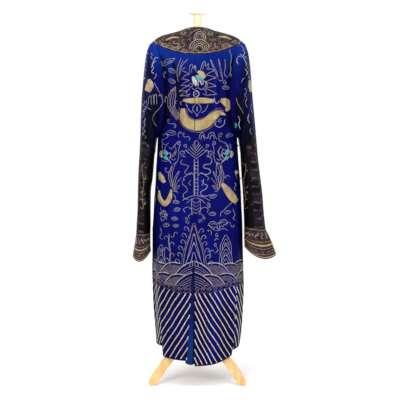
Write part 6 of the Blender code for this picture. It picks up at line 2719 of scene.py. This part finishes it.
@dataclass
class CuffWork:
    """The cuff's gold bands, edge and scrolls, drawn as metres round and metres down."""

    degree: float = 0.0016
    station: float = 0.065

    def draw(self, cloth: Worktop) -> None:
        """Draws the cuff's work."""
        around = np.linspace(-180, 180, 80)

        def ring(at: float) -> Line:
            """A line round the cuff."""
            return np.stack((around * self.degree, np.full(80, at * self.station)), axis=1)

        for at, half in ((14.60, 0.0052), (15.80, 0.0034)):
            cloth.lay(Filling(ring(at), (half, half), 0.0012, edge=Thread.BROWN))
        cloth.cords(Thread.GOLD, [ring(at) for at in (13.12, 14.28, 14.92, 15.5)])
        for k in range(14):
            turn = -170 + 26 * k
            scrolls = moved(scroll(), turn * self.degree, 13.7 * self.station, 0.028, 70 + 25 * math.sin(k))
            cloth.cords(Thread.PALE if k % 2 else Thread.GOLD, scrolls, MAIN)
            cloth.cords(
                Thread.BROWN,
                moved(ripple(2), (turn + 10) * self.degree, 15.2 * self.station, 0.014, 10 * math.cos(k)),
                FINE
            )


@dataclass
class YokeWork(Figure):
    """The yoke's arches, scrolls, bars and leaf lobes as seen from behind; the front has them too."""

    def arches(self, x: float, foot: float, half: float, tall: float, nested: int) -> list[Line]:
        """Nested arches on one foot line.

        Args:
            x: their middle, across.
            foot: the height of their foot.
            half: half the width of the widest.
            tall: the height of the tallest.
            nested: how many there are.

        Returns:
            The lines.
        """
        lines = []
        for k in range(nested):
            w, h = half * (1 - k / (nested + 0.8)), tall * (1 - k / (nested + 0.8))
            lines.append(
                self.line(
                    (x - w, foot), (x - 0.78 * w, foot + 0.62 * h), (x, foot + h),
                    (x + 0.78 * w, foot + 0.62 * h), (x + w, foot)
                )
            )
        return lines

    def draw(self, cloth: Worktop) -> None:
        """Draws the yoke's work."""
        for x, upper in ((20, True), (-110, False), (136, False)):
            lower = self.arches(x - 2, 1397, 41 if upper else 26, 43 if upper else 26, 4 if upper else 3)
            cloth.cords(Thread.PALE if upper else Thread.BROWN, lower[::2], MAIN)
            cloth.cords(Thread.GOLD, lower[1:-1:2], MAIN)
            cloth.cords(Thread.PALE, lower[-1:], MAIN)
            if upper:
                top = shown(self.arches(x, 1436, 25, 36, 3), lower[:1])
                cloth.cords(Thread.PALE, top[:2], MAIN)
                cloth.cords(Thread.BROWN, top[2:], MAIN)
                cloth.cords(
                    Thread.GOLD, [self.line((-32, 1450), (-12, 1468), (12, 1480), (34, 1474), (56, 1456))],
                    FINE
                )
        for places in (((-121, 1438), (-94, 1449), (-66, 1447)), ((97, 1452), (124, 1452), (150, 1442))):
            self.lay(cloth, (2, 4, 2), *places, rise=0.0014, edge=Thread.BROWN)
        for k in range(9):
            x = -172 + 43 * k
            rise = 0.40 * max(abs(x) - 60, 0)
            lobe = [
                self.line((x - 20, 1386 + rise), (x, 1398 + rise), (x + 20, 1386 + rise)),
                self.line((x - 20, 1386 + rise), (x, 1381 + rise * 1.02), (x + 20, 1386 + rise)),
                self.line((x - 12, 1388 + rise), (x, 1392 + rise), (x + 12, 1388 + rise)),
            ]
            cloth.cords(Thread.GOLD, lobe[:2], FINE)
            cloth.cords(Thread.BROWN, lobe[2:], FINE)
        small = (
            ("scroll", -48, 1424, 24, 30), ("hook", -62, 1446, 20, 0), ("scroll", -78, 1424, 22, 80),
            ("cloud", -48, 1466, 20, 0),
            ("scroll", 72, 1430, 24, -30), ("hook", 84, 1414, 20, 60), ("cloud", 64, 1464, 20, 0),
            ("scroll", 100, 1432, 22, 10),
            ("scroll", -140, 1428, 20, 50), ("hook", -132, 1446, 18, 20), ("scroll", 160, 1432, 20, -50),
            ("hook", 172, 1444, 18, 0),
            ("hook", -88, 1408, 20, 90), ("eye", 62, 1412, 20, 10), ("eye", -66, 1406, 18, -10),
            ("eye", -26, 1484, 16, 0), ("eye", 44, 1486, 16, 0),
        )
        for k, (kind, x, z, size, turn) in enumerate(small):
            thread = (Thread.GOLD, Thread.BROWN, Thread.PALE)[k % 3]
            ((x, z),) = self.at([(x, z)])
            cloth.cords(thread, moved(SPRIGS[kind](), x * MM, z * MM, size * MM, turn), FINE)


class Embroidery:
    """All the couched work, laid out flat and worked through onto the panels."""

    def __init__(self, robe: Robe) -> None:
        """Takes the robe's pattern."""
        self.robe = robe
        self.behind = Region(robe.body, 0.0)
        self.before = Region(robe.body, 180.0)
        self.needles: dict[str, Needlework] = {}

    def top_of(self, region: Region, panels: Sequence[BodyPanel], seen: bool, surface: Surface) -> Worktop:
        """A worktop over some of the body's panels.

        Args:
            region: the cloth's measures.
            panels: the panels that it covers.
            seen: whether the drawing is as seen from straight ahead.
            surface: the surface that the work lies on.

        Returns:
            The worktop, whose x starts from the centre seam behind.
        """
        def locate(places: Array) -> tuple[Array, Array]:
            """Heights and turns of drawn places."""
            middle = self.robe.body.centre_x(places[:, 1]) if region.origin == 0 else 0.0
            return region.find(places[:, 0] + middle, places[:, 1].copy(), seen)

        clamps = {panel.name: panel.clamp for panel in panels}
        return Worktop(surface, locate, {panel.name: panel.holds for panel in panels}, clamps=clamps)

    def border(self) -> None:
        """The standing water and stripes, all round."""
        cloth = self.top_of(self.behind, (self.robe.back_left, self.robe.back_right), False, self.robe.body)
        StandingWater().draw(cloth)
        cloth.work(self.needles)
        for panel in (self.robe.front_outer, self.robe.front_under):
            cloth = self.top_of(self.before, (panel,), False, panel.surface)
            StandingWater(inward=0.47).draw(cloth)
            cloth.work(self.needles)

    def grounds(self) -> None:
        """The dragons, clouds and mountains over the border, behind and before."""
        cloth = self.top_of(self.behind, (self.robe.back_left, self.robe.back_right), True, self.robe.body)
        for figure in (
            FrontalDragon(), CentreColumn(), SideDragon(), SideDragon(-1, 14.0, 0.0, False), Peaks()
        ):
            figure.draw(cloth)
        cloth.cords(Thread.SILVER, sprigs(BACK_SPRIGS), MAIN)
        cloth.work(self.needles)
        for panel in (self.robe.front_outer, self.robe.front_under):
            cloth = self.top_of(self.before, (panel,), False, panel.surface)
            figures = (
                FrontalDragon(-1, 10.0, -105.0), CentreColumn(1, -7.0, -30.0), SideDragon(1, -14.0, -40.0),
                SideDragon(-1, 14.0, -40.0, False), Peaks(-1, 0.0, 0.0),
            )
            for figure in figures:
                figure.draw(cloth)
            cloth.cords(Thread.SILVER, sprigs(FRONT_SPRIGS), MAIN)
            cloth.work(self.needles)

    def sleeves(self) -> None:
        """The work on the upper sleeves and the gold of the cuffs."""
        for side in ("left", "right"):
            sleeve = RobeSleeve(side, self.robe.body)
            seen = Seen(sleeve, np.linspace(0.1, 7.0, 56), np.linspace(-178.0, -2.0, 60))
            upper = {f"upper_sleeve_{side}": lambda station, turn: (station > 0.10) & (station < 6.95)}
            below = Seen(sleeve, np.linspace(7.3, 12.9, 46), np.linspace(-178.0, -2.0, 60))
            lower = {f"lower_sleeve_{side}": lambda station, turn: (station > 7.4) & (station < 12.8)}
            for hand in (1.0, -1.0):
                cloth = Worktop(sleeve, lambda places, hand=hand: seen.find(places, hand), upper, step=0.0036)
                SleeveWork(side=side).draw(cloth)
                cloth.work(self.needles)
                cloth = Worktop(
                    sleeve, lambda places, hand=hand: below.find(places, hand), lower, step=0.0036
                )
                (Branch(-1, -218.0) if side == "left" else Branch(1, 208.0)).draw(cloth)
                cloth.work(self.needles)
            cuff = {f"cuff_{side}": lambda station, turn: (station > 13.05) & (station < 15.95)}
            cloth = Worktop(
                sleeve, lambda places: (places[:, 1] / 0.065, places[:, 0] / 0.0016), cuff, step=0.0036
            )
            CuffWork().draw(cloth)
            cloth.work(self.needles)

    def yoke(self) -> None:
        """The work on the yoke collar, behind and before, with the cords along its edges."""
        yoke = RobeYoke(self.robe.body)
        seen = Seen(
            lambda reach, turn: yoke(turn, reach), np.linspace(0.02, 0.98, 30),
            np.linspace(-100.0, 100.0, 101)
        )

        def holds(turn: Array, reach: Array) -> Array:
            """Whether places lie on the yoke, clear of its split."""
            return (np.abs(turn) < 177.4) & (reach > 0.015) & (reach < 0.992)

        def behind(places: Array) -> tuple[Array, Array]:
            """Turns and reaches of places on the back half."""
            reach, turn = seen.find(places, 1.0)
            return np.clip(turn, -89.9, 89.9), np.where(np.abs(turn) > 89, 2.0, reach)

        def before(places: Array) -> tuple[Array, Array]:
            """Turns and reaches of the same work on the front half."""
            turn, reach = behind(places)
            return np.where(turn >= 0, 180.0, -180.0) - turn, reach

        for locate in (behind, before):
            cloth = Worktop(yoke, locate, {"yoke_collar": holds}, step=0.0034)
            YokeWork().draw(cloth)
            cloth.work(self.needles)
        around = np.linspace(-177, 177, 200)
        cloth = Worktop(
            yoke, lambda places: (places[:, 0] / 0.0019, places[:, 1] / 0.130), {"yoke_collar": holds},
            step=0.0034
        )
        for reach, thread in ((0.04, Thread.GOLD), (0.09, Thread.BROWN), (0.972, Thread.BROWN)):
            cloth.cords(thread, [np.stack((around * 0.0019, np.full(200, reach * 0.130)), axis=1)], MAIN)
        cloth.work(self.needles)

    def make(self) -> None:
        """Works everything and makes the threads' pieces."""
        self.border()
        self.grounds()
        self.sleeves()
        self.yoke()
        finishes = thread_finishes()
        for needle in self.needles.values():
            needle.finish(finishes)


@dataclass
class DressForm:
    """The linen form, its beech cap, finial, base, hub and legs, and the steel pole."""

    wood: tuple[str, ...] = ("form_base", "neck_cap", "finial", "hub", "leg_1", "leg_2", "leg_3")

    def dress(self) -> None:
        """Gives every carried node its finish."""
        beech = WoodFinish().make()
        for name in self.wood:
            self.finish(name, beech)
        self.finish("finial", WoodFinish("pale_finial", (0.93, 0.80, 0.58), (0.80, 0.62, 0.38)).make())
        self.finish("form_torso", LinenFinish().make())
        self.finish("pole", MetalFinish("brushed_steel", (0.60, 0.60, 0.62), (0.42, 0.42, 0.45), 0.30).make())

    @staticmethod
    def finish(name: str, material: bpy.types.Material) -> None:
        """One node's finish."""
        node = frame["nodes"][name]
        node.data.materials.clear()
        node.data.materials.append(material)


@dataclass
class Closures:
    """The knot buttons and loops down the outer front's free edge."""

    places: tuple[str, ...] = ("collarbone", "chest", "underarm", "waist")

    def dress(self) -> None:
        """Gives the knots and loops their finishes."""
        brass = MetalFinish("knot_brass", (0.66, 0.47, 0.18), (0.36, 0.24, 0.09), 0.34, 300.0).make()
        cord = LoopFinish().make()
        for place in self.places:
            DressForm.finish(f"knot_{place}", brass)
            DressForm.finish(f"loop_{place}", cord)


@dataclass
class Studio:
    """The pale floor, the soft lights and the camera."""

    camera_place: tuple[float, float, float] = (-0.0194, -4.0462, 1.10)
    camera_tilt: float = 85.3
    lens: float = 85.05
    floor_side: float = 60.0

    def light(self, name: str, place: tuple, aim: tuple, size: float, power: float) -> None:
        """One soft area light.

        Args:
            name: the light's name.
            place: where it stands.
            aim: the point that it faces.
            size: the side of its square, in metres.
            power: its power in watts.
        """
        data = bpy.data.lights.new(name, "AREA")
        data.shape = "DISK"
        data.size = size
        data.energy = power
        lamp = bpy.data.objects.new(name, data)
        lamp.location = place
        away = np.array(aim) - np.array(place)
        yaw = math.atan2(away[1], away[0]) - math.pi / 2
        pitch = math.atan2(away[2], math.hypot(away[0], away[1])) + math.pi / 2
        lamp.rotation_euler = (pitch, 0.0, yaw)
        bpy.context.scene.collection.objects.link(lamp)

    def make(self) -> None:
        """Builds the stage."""
        bpy.ops.object.select_all(action="DESELECT")
        bpy.ops.mesh.primitive_plane_add(size=self.floor_side, location=(0, 0, -0.0005))
        floor = bpy.context.object
        floor.name = "studio_floor"
        floor.data.materials.append(FloorFinish().make())
        world = bpy.data.worlds.new("studio")
        world.use_nodes = True
        world.node_tree.nodes["Background"].inputs["Color"].default_value = (1.0, 1.0, 1.0, 1.0)
        world.node_tree.nodes["Background"].inputs["Strength"].default_value = 1.0
        bpy.context.scene.world = world
        self.light("key", (-1.6, -3.4, 2.6), (0.0, 0.0, 1.0), 1.4, 60.0)
        self.light("fill", (2.2, -2.6, 1.6), (0.0, 0.0, 0.8), 1.8, 24.0)
        self.light("top", (0.0, -0.4, 3.4), (0.0, 0.0, 1.2), 1.6, 26.0)
        data = bpy.data.cameras.new("camera")
        data.lens = self.lens
        data.sensor_width = 36.0
        camera = bpy.data.objects.new("camera", data)
        camera.location = self.camera_place
        camera.rotation_euler = (math.radians(self.camera_tilt), 0.0, 0.0)
        bpy.context.scene.collection.objects.link(camera)
        bpy.context.scene.camera = camera
        bpy.context.scene.view_settings.view_transform = "Standard"


def main() -> None:
    """Builds the robe, its embroidery, the form and the studio, in that order."""
    robe = Robe()
    robe.make()
    log.info("cloth made")
    Embroidery(robe).make()
    log.info("embroidery made")
    DressForm().dress()
    Closures().dress()
    log.info("form and closures dressed")
    Studio().make()


if __name__ == "__main__":
    main()
